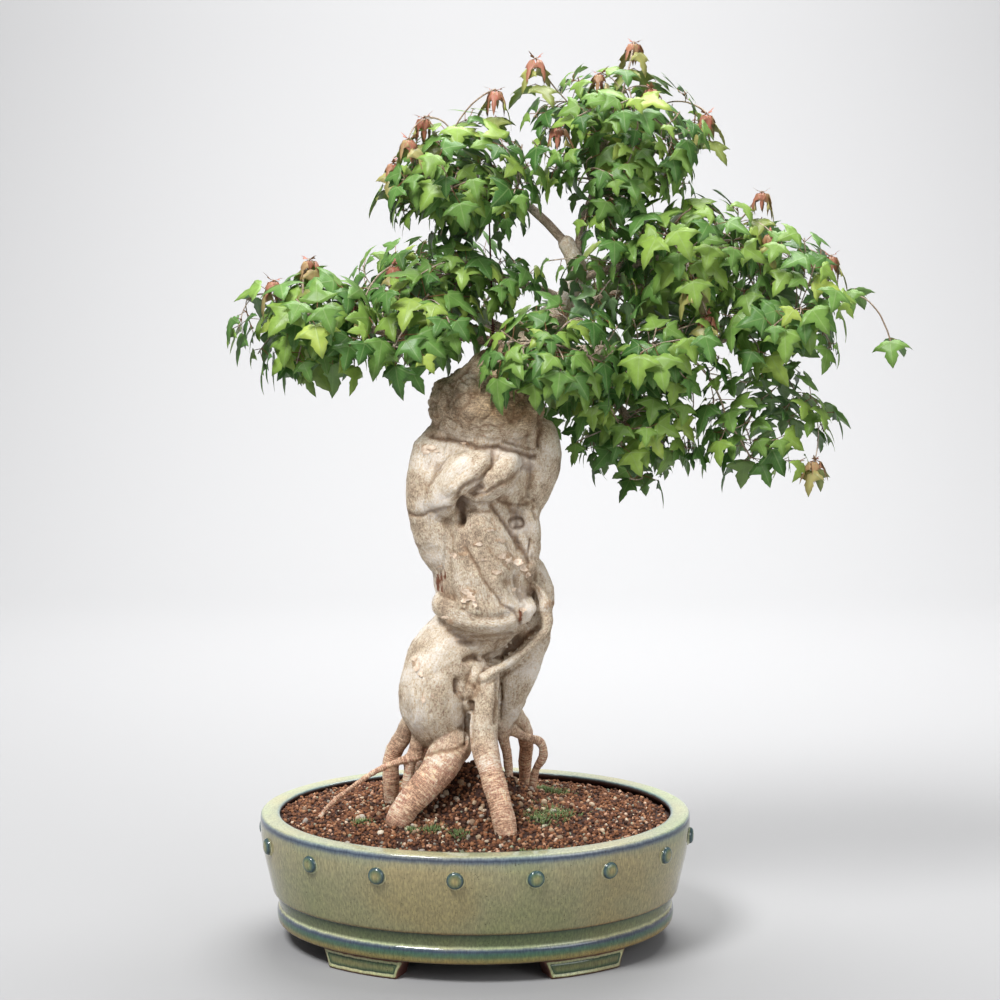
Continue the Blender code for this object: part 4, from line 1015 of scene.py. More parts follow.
flake = patches(FLAKES)
scar = patches(SCARS)
relief = FLAKE_RISE * flake - sink + swell
for pitch, rise in LUMPS:
    relief += rise * noises(skin, pitch * MM, pitch)
height = skin[:, 2] / MM
in_head = np.clip((height - HEAD_FROM) / HEAD_FADE_IN, 0.0, 1.0)
in_head *= np.clip((HEAD_TO - height) / HEAD_FADE_OUT, 0.0, 1.0)
for pitch, rise in HEAD_LUMPS:
    relief += in_head * rise * noises(skin, pitch * MM, pitch + 31.0)
crack_at = skin + HEAD_CRACK_WANDER * MM * wander[:, :1]
head_crack = 1.0 - HEAD_CRACK_SHARP * abs(noises(crack_at, HEAD_CRACK_PITCH * MM, 47.0))
head_crack = np.clip(head_crack, 0.0, 1.0) * in_head
relief -= HEAD_CRACK_DEPTH * head_crack
# Folds run along each limb, and fade on what the marks above already describe. A shift from limb
# to limb gives each its own.
fold_at = grain / (FOLD_PITCH * MM) * (1 / FOLD_STRETCH, 1.0, 1.0)
fold_at += limb_number[:, None] * FOLD_SHIFT
fold = np.array([1.0 - abs(noise.noise(Vector(p))) * FOLD_NARROW for p in fold_at])
fold = np.clip(fold, 0.0, 1.0) ** FOLD_SHARP * np.where(is_root, FOLD_ON_ROOT, 1.0)
fold *= FOLD_IN_FRONT + (1.0 - FOLD_IN_FRONT) * np.clip(FOLD_FACING - facing, 0.0, 1.0)
relief -= FOLD_DEPTH * fold
rings = np.array([noise.noise(Vector((a / (RING_PITCH * MM), n * RING_SHIFT, 0.5)))
                  for a, n in zip(grain[:, 0], limb_number)])
relief += RING_RISE * rings * np.where(is_root, 1.0, RING_ON_STEM)
skin += outward * relief[:, None] * MM
move_points(trunk, skin)

# The bark's finish reads how hollow the wood is at each point, which is how far it lies under its
# smoothed surroundings, and how much of a crease, flake, scar, root or rough wood it is. The
# hollows, creases, folds and the head's cracks are painted darker: this is painted shade, where
# shade falls in them. Rough wood starts at a wandering edge and is weaker on the head's left side.
hollow = ((rounded(skin, HOLLOW_ROUNDS) - skin) * mesh_normals(trunk)).sum(axis=1) / MM
dark = crease + FOLD_DARK * fold + HEAD_CRACK_DARK * head_crack
mark(trunk, "crease", np.clip(dark, 0.0, 1.0))
# The head's hollows take less painted shade.
in_head = 1.0 - (1.0 - HOLLOW_IN_HEAD) * in_head
mark(trunk, "hollow", np.clip(hollow / HOLLOW_DEEPEST, -1.0, 1.0) * in_head)
mark(trunk, "flake", flake)
mark(trunk, "scar", scar)
height = skin[:, 2] / MM
mark(trunk, "root", np.where(is_root, np.clip((ROOT_TOP - height) / ROOT_FADE, 0.0, 1.0), 0.0))
head_edge = height + ROUGH_WANDER * noises(skin, ROUGH_WANDER_PITCH * MM, 3.0)
head_edge += ROUGH_FRAY * noises(skin, ROUGH_FRAY_PITCH * MM, 4.0)
rough = np.clip((head_edge - ROUGH_FROM) / ROUGH_FADE, 0.0, ROUGH_MOST)
rough *= np.clip((ROUGH_TO - height) / ROUGH_FADE, 0.0, 1.0)
# The head's left side keeps less rough brown: paler grey bark shows there, and it is also painted
# lighter there as painted light from the upper left.
rough *= np.clip((at[:, 0] - ROUGH_LEFT) / ROUGH_FADE, ROUGH_LEAST, 1.0)
mark(trunk, "rough_wood", rough)
mark(trunk, "grain", grain / MM)


# Maple bark. Thin, matt and pale grey-beige with cream on the swellings, warmer and pinker on
# the roots, brown and rough on the head, with painted shade in the hollows, creases and folds:
# warm brown, and nearly black-brown where deepest. Fine striations follow the grain, with
# freckles a millimetre or two across.
def bark_finish(name, warm):
    """Bark; warm shifts it from the old trunk's grey-beige to a young branch's brown."""
    made, tree, shader = new_finish(name)
    where = node(tree, "TexCoord", {}, {}).outputs["Object"]
    grain_at = node(tree, "Attribute", {"attribute_name": "grain"}, {}).outputs["Vector"]
    marks = {key: node(tree, "Attribute", {"attribute_name": key}, {}).outputs["Fac"]
             for key in ("crease", "hollow", "flake", "scar", "root", "rough_wood")}
    broad = node(tree, "TexNoise", {"Scale": 26.0, "Detail": 5.0, "Roughness": 0.6},
                 {"Vector": where})
    base = node(tree, "ValToRGB", {"stops": [
        (0.30, "#a08c78"), (0.43, "#c4b39c"), (0.54, "#ddd0be"), (0.66, "#eee4d8")]},
                {"Fac": broad})
    if warm:
        base = node(tree, "MixRGB", {"Fac": warm, "Color2": srgb("#7a6350")}, {"Color1": base})
    # Roots are orange-pink where their outer bark has gone.
    root_tone = node(tree, "ValToRGB", {"stops": [
        (0.34, "#b8937a"), (0.5, "#cfac93"), (0.64, "#e2cab6")]}, {"Fac": broad})
    rooted = node(tree, "MixRGB", {},
                  {"Fac": marks["root"], "Color1": base, "Color2": root_tone})
    head_tone = node(tree, "ValToRGB", {"stops": [
        (0.34, "#8f7450"), (0.5, "#b09670"), (0.66, "#ccb893")]}, {"Fac": broad})
    headed = node(tree, "MixRGB", {},
                  {"Fac": marks["rough_wood"], "Color1": rooted, "Color2": head_tone})
    # Streaks 1 mm wide run along the grain, and paler rings 3 mm apart go round the roots.
    long_grain = node(tree, "Mapping", {"Scale": (0.4, 1.0, 1.0)}, {"Vector": grain_at})
    streak = node(tree, "TexNoise", {"Scale": 0.85, "Detail": 4.0, "Roughness": 0.65},
                  {"Vector": long_grain})
    streak_tone = node(tree, "ValToRGB", {"stops": [
        (0.33, "#7c7a78"), (0.5, "#bcbcbc"), (0.68, "#dedede")]}, {"Fac": streak})
    streaked = node(tree, "MixRGB", {"blend_type": "OVERLAY", "Fac": 0.7},
                    {"Color1": headed, "Color2": streak_tone})
    round_grain = node(tree, "Mapping", {"Scale": (1.0, 0.1, 0.1)}, {"Vector": grain_at})
    ring = node(tree, "TexNoise", {"Scale": 0.95, "Detail": 3.0}, {"Vector": round_grain})
    ring_tone = node(tree, "ValToRGB", {"stops": [
        (0.42, "#8e8a86"), (0.5, "#bcbcbc"), (0.58, "#f2efec")]}, {"Fac": ring})
    ring_part = node(tree, "Math", {"operation": "MULTIPLY_ADD", 1: 0.65, 2: 0.10},
                     {0: marks["root"]})
    ringed = node(tree, "MixRGB", {"blend_type": "OVERLAY"},
                  {"Fac": ring_part, "Color1": streaked, "Color2": ring_tone})
    # Freckles and grey lichen specks.
    fine = node(tree, "TexNoise", {"Scale": 480.0, "Detail": 4.0, "Roughness": 0.7},
                {"Vector": where})
    fine_tone = node(tree, "ValToRGB", {"stops": [
        (0.36, "#8c8884"), (0.5, "#bcbcbc"), (0.64, "#dcd8d4")]}, {"Fac": fine})
    mottled = node(tree, "MixRGB", {"blend_type": "OVERLAY", "Fac": 0.8},
                   {"Color1": ringed, "Color2": fine_tone})
    # Small plates of old bark leave pale patches with darker edges.
    plates = node(tree, "TexVoronoi", {"Scale": 95.0, "feature": "DISTANCE_TO_EDGE"},
                  {"Vector": node(tree, "MixRGB", {"blend_type": "LINEAR_LIGHT", "Fac": 0.02},
                                  {"Color1": where, "Color2": fine}).outputs[0]})
    plate_edge = node(tree, "ValToRGB", {"stops": [(0.0, "#5c4a38"), (0.05, "#ffffff")]},
                      {"Fac": plates})
    plated = node(tree, "MixRGB", {"blend_type": "MULTIPLY", "Fac": 0.16},
                  {"Color1": mottled, "Color2": plate_edge})
    # Painted shade: hollows, creases and folds are painted warm brown, and dark brown where they are
    # deepest, where shade falls in them.
    deep = node(tree, "ValToRGB", {"stops": [(0.02, "#000000"), (0.8, "#ffffff")]},
                {"Fac": marks["hollow"]})
    painted_shade = node(tree, "Math", {"operation": "MAXIMUM"}, {0: deep, 1: marks["crease"]})
    shade_halo = node(tree, "ValToRGB", {"stops": [(0.0, "#000000"), (0.35, "#8c8c8c")]},
                 {"Fac": painted_shade})
    halo_shaded = node(tree, "MixRGB", {"Color2": srgb("#b48c64")}, {"Fac": shade_halo, "Color1": plated})
    # The dark brown of the painted shade in the deepest creases and hollows.
    dark_shade_part = node(tree, "Math", {"operation": "MULTIPLY", 1: 0.74}, {0: painted_shade})
    crease_shaded = node(tree, "MixRGB", {"Color2": srgb("#5c3f27")}, {"Fac": dark_shade_part, "Color1": halo_shaded})
    flaked = node(tree, "MixRGB", {"Color2": srgb("#b08a68")},
                  {"Fac": node(tree, "Math", {"operation": "MULTIPLY", 1: 0.55},
                               {0: marks["flake"]}), "Color1": crease_shaded})
    scarred = node(tree, "MixRGB", {"Color2": srgb("#74442c")},
                   {"Fac": marks["scar"], "Color1": flaked})
    coarse_skin = node(tree, "Bump", {"Strength": 0.85, "Distance": 1.5 * MM}, {"Height": streak})
    fine_skin = node(tree, "Bump", {"Strength": 0.7, "Distance": 0.8 * MM},
                     {"Height": fine, "Normal": coarse_skin})
    fit(tree, shader, {"Roughness": 0.82, "IOR": 1.45},
        {"Base Color": scarred, "Normal": fine_skin})
    return made


old_bark = bark_finish("flaking maple bark", 0.0)
trunk.data.materials.append(old_bark)
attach(trunk, "root")
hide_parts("trunk")

# Bark flakes. Thin plates of outer bark, dry and pale, that still hold on at one edge and
# curl off the trunk at the other. Each is its middle in pixels of the photograph, its half width
# and half height in pixels and the way that its loose edge points, in degrees.
FLAKE_PLATES = [
    (430, 447, 4.5, 2.4, 200), (426, 452, 3.0, 2.2, 150), (436, 452, 2.4, 1.4, 20),
    (464, 443, 2.8, 1.2, 60), (503, 556, 3.4, 2.2, 100), (509, 561, 3.2, 2.4, 30),
    (517, 562, 3.4, 2.0, 330), (523, 568, 3.2, 2.8, 290), (527, 574, 2.0, 2.0, 320),
    (497, 573, 4.0, 1.6, 80), (467, 592, 4.2, 2.6, 120), (472, 597, 3.6, 2.6, 350),
    (465, 600, 2.6, 1.6, 240), (476, 604, 1.8, 2.4, 300), (454, 556, 2.6, 2.0, 130),
    (478, 544, 2.8, 1.2, 70), (522, 610, 2.4, 1.8, 330), (530, 637, 1.8, 1.8, 300),
    (415, 658, 2.0, 2.8, 180), (418, 666, 2.2, 3.2, 200), (421, 674, 1.6, 2.2, 230),
    (549, 602, 2.2, 2.4, 350), (446, 617, 2.4, 1.4, 200), (490, 530, 3.0, 1.2, 90),
    (501, 541, 3.4, 1.2, 60), (441, 566, 2.0, 1.6, 150), (483, 560, 2.2, 1.2, 110),
    (424, 700, 1.8, 2.4, 200), (513, 590, 2.0, 1.4, 30), (456, 640, 2.2, 1.2, 90)]
FLAKE_SIDES = 11
FLAKE_RINGS = (0.45, 0.8, 1.0)
FLAKE_THICK = 0.5
FLAKE_GAP = 0.15
FLAKE_CURL = 1.7
FLAKE_HELD = 0.3
FLAKE_GROW = 1.5
FLAKE_SPREAD = 1.04
FLAKE_UNEVEN = (0.55, 1.25)
FLAKE_SEED = 77
UP = Vector((0.0, 0.0, 1.0))


def mesh_faces(piece):
    """The faces of a mesh, each as the numbers of its points."""
    return [tuple(face.vertices) for face in piece.data.polygons]


def turned_out(mesh):
    """Makes all faces of a closed mesh point outwards."""
    bm = bmesh.new()
    bm.from_mesh(mesh)
    bmesh.ops.recalc_face_normals(bm, faces=bm.faces)
    bm.to_mesh(mesh)
    bm.free()


# Every flake has the same faces: a fan and rings over, the same under, and a rim between them.
per_side = 1 + len(FLAKE_RINGS) * FLAKE_SIDES
neighbours = [(k, (k + 1) % FLAKE_SIDES) for k in range(FLAKE_SIDES)]
over_faces = [(0, 1 + k, 1 + along) for k, along in neighbours]
for low in range(1, per_side - FLAKE_SIDES, FLAKE_SIDES):
    over_faces += [(low + k, low + FLAKE_SIDES + k, low + FLAKE_SIDES + along, low + along)
                   for k, along in neighbours]
plate_faces = over_faces + [tuple(per_side + i for i in reversed(face)) for face in over_faces]
low = per_side - FLAKE_SIDES
plate_faces += [(low + k, low + per_side + k, low + per_side + along, low + along)
                for k, along in neighbours]

bark_tree = BVHTree.FromPolygons(skin.tolist(), mesh_faces(trunk))
skin_px = seen_at(skin)
draw = np.random.default_rng(FLAKE_SEED)
flake_points, flake_faces = [], []
for x, y, wide, high, loose in FLAKE_PLATES:
    wide, high = FLAKE_GROW * wide, FLAKE_GROW * high
    near = np.where(seen, np.linalg.norm(skin_px - (x, y), axis=1), np.inf)
    middle = Vector(skin[np.argmin(near)])
    _, lie, _, _ = bark_tree.find_nearest(middle)
    lie.normalize()
    across = UP.cross(lie).normalized()
    rise = lie.cross(across).normalized()
    loose_way = (math.cos(math.radians(loose)), math.sin(math.radians(loose)))
    uneven = draw.uniform(*FLAKE_UNEVEN, FLAKE_SIDES)
    spots = [(0.0, 0.0)]
    for ring in FLAKE_RINGS:
        for k in range(FLAKE_SIDES):
            turn = 2 * math.pi * k / FLAKE_SIDES
            spots.append((ring * wide * uneven[k] * math.cos(turn),
                          ring * high * uneven[k] * math.sin(turn)))
    flake_faces += [tuple(len(flake_points) + i for i in face) for face in plate_faces]
    for thick in (FLAKE_THICK, 0.0):
        for u, v in spots:
            over = middle + (across * u + rise * v) * FLAKE_SPREAD * MM
            on_bark, way, _, _ = bark_tree.find_nearest(over)
            off = max((u * loose_way[0] + v * loose_way[1]) / max(wide, high) + FLAKE_HELD, 0.0)
            lift = FLAKE_GAP + FLAKE_CURL * off * off + thick
            flake_points.append(tuple(on_bark + (way * 0.5 + lie * 0.5) * lift * MM))
flakes_mesh = bpy.data.meshes.new("bark_flakes")
flakes_mesh.from_pydata(flake_points, [], flake_faces)
turned_out(flakes_mesh)
flakes = bpy.data.objects.new("bark_flakes", flakes_mesh)
bpy.context.scene.collection.objects.link(flakes)

# Dry outer bark: matt, pale cream, with fine freckles.
dry_bark, dry_tree, dry_shader = new_finish("dry peeling bark")
dry_at = node(dry_tree, "TexCoord", {}, {}).outputs["Object"]
dry_spots = node(dry_tree, "TexNoise", {"Scale": 300.0, "Detail": 4.0}, {"Vector": dry_at})
dry_tone = node(dry_tree, "ValToRGB", {"stops": [
    (0.36, "#ccb29a"), (0.5, "#dcc7b1"), (0.64, "#ead9c6")]}, {"Fac": dry_spots})
fit(dry_tree, dry_shader, {"Roughness": 0.8}, {"Base Color": dry_tone})
flakes.data.materials.append(dry_bark)
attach(flakes, "root")
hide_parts("trunk")

# The trunk's mesh is thinned where it is flat, so that it stays under 200,000 triangles.
TRUNK_KEPT = 0.64
shape_by(trunk, "thin out", "DECIMATE", ratio=TRUNK_KEPT)

# Branches. Leafy branches that grow from the trunk: each one's own wood, the tips of its long
# whips and its pads of leaves, in mm from the middle of the pot. A pad is the x, y, z of its
# middle, its three half-sizes, its number of main shoots and its leaves' least and most length.
# Whatever grows keeps clear of all that stands already.
BRANCHES = {
    "branch_left_low": {
        "wood": [(44, -2, 629, 6.8), (22, -6, 638, 6.6), (-6, -7, 646, 6.2), (-47, -8, 646, 5.6),
                 (-90, -10, 650, 5), (-136, -12, 660, 4.2), (-182, -14, 672, 3.2)],
        "whips": [(-236, -12, 684), (-172, 6, 726), (-84, 4, 720)],
        "pads": [((-165, -12, 660), (84, 82, 46), 4, (44, 54)),
                 ((-55, -20, 660), (66, 88, 46), 3, (42, 54))],
    },
    "branch_left_mid": {
        "wood": [(90, 9, 685, 4.8), (60, 4, 697, 4.8), (16, 8, 706, 4.4), (-24, 14, 708, 3.4)],
        "whips": [],
        "pads": [((-14, 16, 704), (92, 72, 30), 3, (34, 42))],
    },
    "branch_upper_left": {
        "wood": [(93, 8, 744, 5.4), (58, 6, 779, 5.2), (17, 4, 795, 5), (-25, 2, 806, 4),
                 (-58, 2, 818, 3)],
        "whips": [(22, 0, 900), (-52, -8, 872), (-84, 4, 826)],
        "pads": [((-14, 0, 806), (84, 80, 62), 5, (38, 48))],
    },
    "branch_apex": {
        "wood": [(107, 9, 729, 4.8), (113, 12, 764, 5), (123, 10, 790, 4.8), (131, 8, 822, 4.2),
                 (136, 4, 858, 3.2)],
        "whips": [(164, 0, 948), (63, 0, 932), (240, 8, 876)],
        "pads": [((146, 2, 850), (96, 92, 72), 6, (36, 46))],
    },
    "branch_right_upper": {
        "wood": [(112, 8, 706, 4.8), (140, 6, 714, 4.6), (190, 2, 726, 4), (238, -4, 738, 3)],
        "whips": [(298, 0, 796)],
        "pads": [((222, -6, 734), (92, 88, 56), 4, (40, 50))],
    },
    "branch_right": {
        "wood": [(74, 0, 622, 8.6), (96, -2, 628, 8.4), (131, -4, 630, 7.6), (170, -6, 629, 6.8),
                 (206, -7, 631, 6), (250, -8, 640, 5), (296, -8, 656, 4), (340, -8, 668, 3)],
        "whips": [(392, 0, 690), (434, -4, 640), (362, -10, 566), (288, -20, 520)],
        "pads": [((318, -6, 686), (80, 84, 82), 4, (42, 54)),
                 ((306, -16, 552), (72, 66, 48), 2, (38, 48)),
                 ((192, -44, 640), (72, 70, 44), 2, (40, 52))],
    },
    "branch_hanging": {
        "wood": [(66, 14, 600, 6.5), (108, 18, 598, 6), (142, 18, 580, 5), (166, 16, 552, 4),
                 (176, 14, 520, 3)],
        "whips": [(176, 0, 496)],
        "pads": [((164, 12, 558), (78, 86, 80), 5, (36, 46))],
    },
    "branch_front": {
        "wood": [(60, -13, 628, 6), (60, -40, 640, 5.2), (66, -72, 646, 4.4), (78, -98, 644, 3.2)],
        "whips": [],
        "pads": [((76, -78, 636), (88, 56, 44), 4, (38, 48))],
    },
    "branch_back_left": {
        "wood": [(54, 18, 641, 6.4), (28, 44, 650, 6), (-10, 72, 668, 5), (-50, 94, 684, 3.6)],
        "whips": [(-96, 146, 722)],
        "pads": [((-48, 104, 690), (92, 74, 54), 3, (40, 50))],
    },
    "branch_back_right": {
        "wood": [(87, 15, 666, 5.4), (118, 44, 676, 5.2), (160, 76, 690, 4.8), (200, 98, 704, 3.6)],
        "whips": [(262, 146, 742)],
        "pads": [((196, 112, 704), (100, 74, 66), 3, (40, 50))],
    },
    "branch_back": {
        "wood": [(62, 23, 618, 6.4), (74, 56, 614, 6), (84, 96, 612, 5), (92, 128, 612, 3.6)],
        "whips": [(84, 170, 640)],
        "pads": [((86, 124, 608), (100, 60, 62), 3, (40, 50))],
    },
}
BRANCH_SIDES = 6
SOCKET = 0.3 * MM
MOST_STANDING = 20000


def ball(points):
    """The middle and the reach of the ball round some points."""
    middle = points.mean(axis=0)
    return *middle, np.linalg.norm(points - middle, axis=1).max()


class Standing:
    """The shapes that stand already, each with its owner's name, as seen from the pot's middle."""

    def __init__(self):
        self.owners, self.trees = [], []
        self.balls = np.zeros((MOST_STANDING, 4))

    def add(self, owner, points, faces):
        """Adds a shape to those that stand."""
        points = np.array(points)
        self.balls[len(self.owners)] = ball(points)
        self.owners.append(owner)
        self.trees.append(BVHTree.FromPolygons(points.tolist(), faces))

    def blocks(self, points, faces, but=()):
        """True if a shape cuts one that stands, other than those of the owners named."""
        points = np.array(points)
        *middle, reach = ball(points)
        balls = self.balls[:len(self.owners)]
        gaps = np.linalg.norm(balls[:, :3] - middle, axis=1) - balls[:, 3] - reach
        tree = None
        for i in np.nonzero(gaps <= 0.0)[0]:
            if self.owners[i] in but:
                continue
            tree = tree or BVHTree.FromPolygons(points.tolist(), faces)
            if tree.overlap(self.trees[i]):
                return True
        return False


def plain_tube(path, sides):
    """The points and faces of a plain tube along x, y, z, radius, to keep clear of."""
    places = [Vector(p[:3]) for p in path]
    side = None
    points = []
    for i, place in enumerate(places):
        along = (places[min(i + 1, len(places) - 1)] - places[max(i - 1, 0)]).normalized()
        side = side or along.orthogonal().normalized()
        side = (side - along * side.dot(along)).normalized()
        across = along.cross(side)
        turns = [2 * math.pi * k / sides for k in range(sides)]
        points += [place + path[i][3] * (side * math.cos(a) + across * math.sin(a)) for a in turns]
    faces = [(low + i, low + (i + 1) % sides, low + sides + (i + 1) % sides, low + sides + i)
             for low in range(0, len(points) - sides, sides) for i in range(sides)]
    faces += [tuple(reversed(range(sides))), tuple(range(len(points) - sides, len(points)))]
    return points, faces


def in_metres(path):
    """A path in mm with all its numbers in metres."""
    return [tuple(value * MM for value in point) for point in path]


def sized(path, times, plus=0.0):
    """A path with its radius multiplied, and added to."""
    return [(*point[:3], times * point[3] + plus) for point in path]


standing = Standing()
for name in ("pot", "trunk"):
    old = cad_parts[name]
    standing.add(name, mesh_points(old) - POT_AT, mesh_faces(old))

# Guy wire. A soft iron wire, rusted dark, pulls an upper branch down towards a lower one. It is
# looped round each, and each end is twisted back round the wire.
WIRE_RADIUS = 0.9 * MM
WIRE_X = 17.0 * MM
WIRE_GAP = 0.6 * MM
WIRE_ROOM = 3
WIRE_ROOM_SIDES = 5
WIRE_SIDES = 10
WIRE_RESOLUTION = 3
LOOP_SIDES = 36
TWIST_TURNS = 4.0
TWIST_PITCH = 2.6 * MM
TWIST_STEPS = 14
TWIST_FROM = 0.8 * MM
TWIST_REACH = 1.9
TWIST_SLIM = 0.9
wire_ends, wire_parts = [], []
for name in ("branch_left_low", "branch_upper_left"):
    path = in_metres(BRANCHES[name]["wood"])
    a, b = next((a, b) for a, b in zip(path, path[1:])
                if min(a[0], b[0]) <= WIRE_X <= max(a[0], b[0]))
    start, end = Vector(a[:3]), Vector(b[:3])
    middle = start.lerp(end, (WIRE_X - a[0]) / (b[0] - a[0]))
    along = (end - start).normalized()
    wide = max(a[3], b[3]) + WIRE_GAP + WIRE_RADIUS
    turn = along.to_track_quat("Z", "Y")
    loop = begun("guy_wire_loop", bpy.ops.mesh.primitive_torus_add, major_segments=LOOP_SIDES,
                 minor_segments=WIRE_SIDES, major_radius=wide, minor_radius=WIRE_RADIUS,
                 location=middle + Vector(POT_AT), rotation=turn.to_euler())
    wire_parts.append(loop)
    standing.add("guy_wire", mesh_points(loop) @ np.array(turn.to_matrix()).T + np.array(middle),
                 mesh_faces(loop))
    wire_ends.append((middle, (UP - along * along.z).normalized() * wide))
(low_middle, low_up), (high_middle, high_up) = wire_ends
low_end, high_end = low_middle + low_up, high_middle - high_up
wire_run = [(*low_end, WIRE_RADIUS), (*high_end, WIRE_RADIUS)]
standing.add("guy_wire", *plain_tube(sized(wire_run, WIRE_ROOM), WIRE_ROOM_SIDES))
wire_way = (high_end - low_end).normalized()
coils = []
for foot, sign in ((low_end, 1.0), (high_end, -1.0)):
    coil = []
    for k in range(int(TWIST_TURNS * TWIST_STEPS) + 1):
        turn = 2 * math.pi * k / TWIST_STEPS
        spot = foot + wire_way * sign * (TWIST_FROM + TWIST_PITCH * k / TWIST_STEPS)
        off = Vector((math.cos(turn), math.sin(turn), 0.0)) * TWIST_REACH * WIRE_RADIUS
        coil.append((*(spot + off + Vector(POT_AT)), TWIST_SLIM * WIRE_RADIUS))
    coils.append(coil)
wire_line = [(*(np.array(p[:3]) + POT_AT), p[3]) for p in wire_run]
wire = rods("guy_wire_line", [wire_line, *coils], WIRE_RESOLUTION)
choose(*wire_parts, wire)
bpy.ops.object.join()
bpy.ops.object.transform_apply(location=True, rotation=True, scale=True)
bpy.ops.object.shade_smooth()

# Rusted iron: matt brown-red over dark metal, with the rust in specks about a millimetre wide.
rust, rust_tree, rust_shader = new_finish("rusted annealed iron wire")
rust_spots = node(rust_tree, "TexNoise", {"Scale": 600.0, "Detail": 3.0},
                  {"Vector": node(rust_tree, "TexCoord", {}, {}).outputs["Object"]})
rust_tone = node(rust_tree, "ValToRGB", {"stops": [
    (0.35, "#2e1c18"), (0.55, "#4d2a1e"), (0.72, "#7a4328")]}, {"Fac": rust_spots})
rust_skin = node(rust_tree, "Bump", {"Strength": 0.4, "Distance": 0.2 * MM},
                 {"Height": rust_spots})
fit(rust_tree, rust_shader, {"Metallic": 0.5, "Roughness": 0.6},
    {"Base Color": rust_tone, "Normal": rust_skin})
wire.data.materials.append(rust)
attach(wire, "root")
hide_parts("guy_wire")

# Shoots and leaves. Green and bronze shoots leave the branches in arcs, with three-lobed leaves
# in pairs, each pair turned from the last, on thin red-brown stalks. A leaf hangs from its stalk
# and turns its face out of its pad, towards the light.
CHECK_OUTLINE = [(0.032, 0.0, 0.0), (0.60, 0.29, -0.15), (0.23, 0.44, 0.02), (0.0, 1.0, -0.12)]
MAIN_THICK = 0.9 * MM
MAIN_CLEAR = 2.2 * MM
MAIN_MARGIN = 1.03
MAIN_TRIES = 14
LEAST_ONWARD = 0.2
LEAF_SWING = (0.5, 0.5, 0.3)
LEAF_ROLL = 0.6
FACE_LIFT = Vector((0.0, -0.15, 0.55))
HANG_ONWARD = 0.9
HANG_OUTWARD = 0.3
HANG_DOWN = Vector((0.0, 0.0, -0.8))
FILL_LEVEL = 0.35
BLADE_POINTS = 14
STALK_RADIUS = 0.65 * MM
STALK_SINK = 0.2 * MM
STALK_PARTS = (0.35, 0.5)
SHOOT_SIDES = 3
SHOOT_STEPS = 2
SHOOT_FINER = 4
SHOOT_SLIM = 0.62
SHOOT_ARC = (0.25, 0.3, 0.10)
SHOOT_PITCH = 12.0 * MM
SHOOT_CLEAR = 1.0 * MM
SHOOT_TAPER = 0.012
SHOOT_WIDEST = 0.75
BACKWARD_COST = 0.45
PAD_SHELL = (0.62, 0.86)
PAD_LIFT = 0.25
PAD_TRIES = 24
PAIR_STEP = 4.0 * MM
PAIR_TURN = math.radians(60.0)
PAIR_ONWARD = 0.6
PAIR_RISE = 0.2
SHOOT_TIP = 1.7 * MM
MAIN_PLACES = (0.70, 1.0)
WHIP_LEAVES = (34, 42)
SEED = "trident maple"
MAIN_DRAWN = 0.78
# Which whips of a branch end in a young shoot, so that their last leaves here aren't drawn, and a
# grown leaf's colours: how young it is, and its own shade, or -1 for any.
YOUNG_TIPS = {"branch_apex": (0, 1, 2), "branch_upper_left": (0, 1, 2), "branch_right_upper": (0,),
              "branch_left_low": (1, 2)}
GROWN_LEAF = (0.0, -1.0)


def check_leaf(stalk_from, base, along, normal, length, thick):
    """A plain three-lobed blade with its stalk, to see whether a leaf has room. Points 0 to 6 are
    the blade's upper side, 7 to 13 its lower side and the last three the stalk's foot."""
    across = along.cross(normal).normalized()
    up = across.cross(along)
    outline = CHECK_OUTLINE + [(-x, y, z) for x, y, z in CHECK_OUTLINE[2::-1]]
    over = [base + length * (across * x + along * y + up * z) + up * thick / 2
            for x, y, z in outline]
    under = [p - up * thick for p in over]
    stem = (base - stalk_from).normalized()
    rise = across.cross(stem).normalized()
    root = [stalk_from - stem * STALK_SINK + (across * x + rise * y) * STALK_RADIUS
            for x, y in ((1.0, 0.6), (-1.0, 0.6), (0.0, -1.1))]
    face = [(0, 1, 2), (4, 5, 6), (2, 3, 4), (0, 2, 4), (0, 4, 6)]
    faces = face + [tuple(i + 7 for i in reversed(t)) for t in face]
    faces += [(i, i + 7, i + 8, i + 1) for i in range(6)]
    faces += [(0, 6, 15, 14), (0, 14, 16, 7), (6, 13, 16, 15), (7, 16, 13), (14, 15, 16)]
    return over + under + root, faces


def sample(path, step):
    """Places along a path, each with its direction and radius."""
    found = []
    for a, b in zip(path, path[1:]):
        start, end = Vector(a[:3]), Vector(b[:3])
        count = max(1, round((end - start).length / step))
        for k in range(count):
            part = (k + 1) / count
            found.append((start.lerp(end, part), (end - start).normalized(),
                          a[3] + (b[3] - a[3]) * part))
    return found


def shoot_path(target, ends, steps):
    """A curved shoot from the handiest place on the wood so far to its target."""
    def cost(end):
        reach = target - end[0]
        back = 1.0 - reach.normalized().dot(end[1])
        return reach.length * (1.0 + BACKWARD_COST * back)
    place, along, radius = min(ends, key=cost)
    reach = target - place
    onward, part_way, upward = SHOOT_ARC
    bend = place + along * reach.length * onward + reach * part_way + UP * (reach.length * upward)
    base = min(radius * SHOOT_WIDEST, SHOOT_TIP + reach.length * SHOOT_TAPER)
    path = []
    for k in range(steps + 1):
        part = k / steps
        spot = place * (1 - part) ** 2 + bend * 2 * part * (1 - part) + target * part ** 2
        path.append((*spot, base + (SHOOT_TIP - base) * part))
    return path


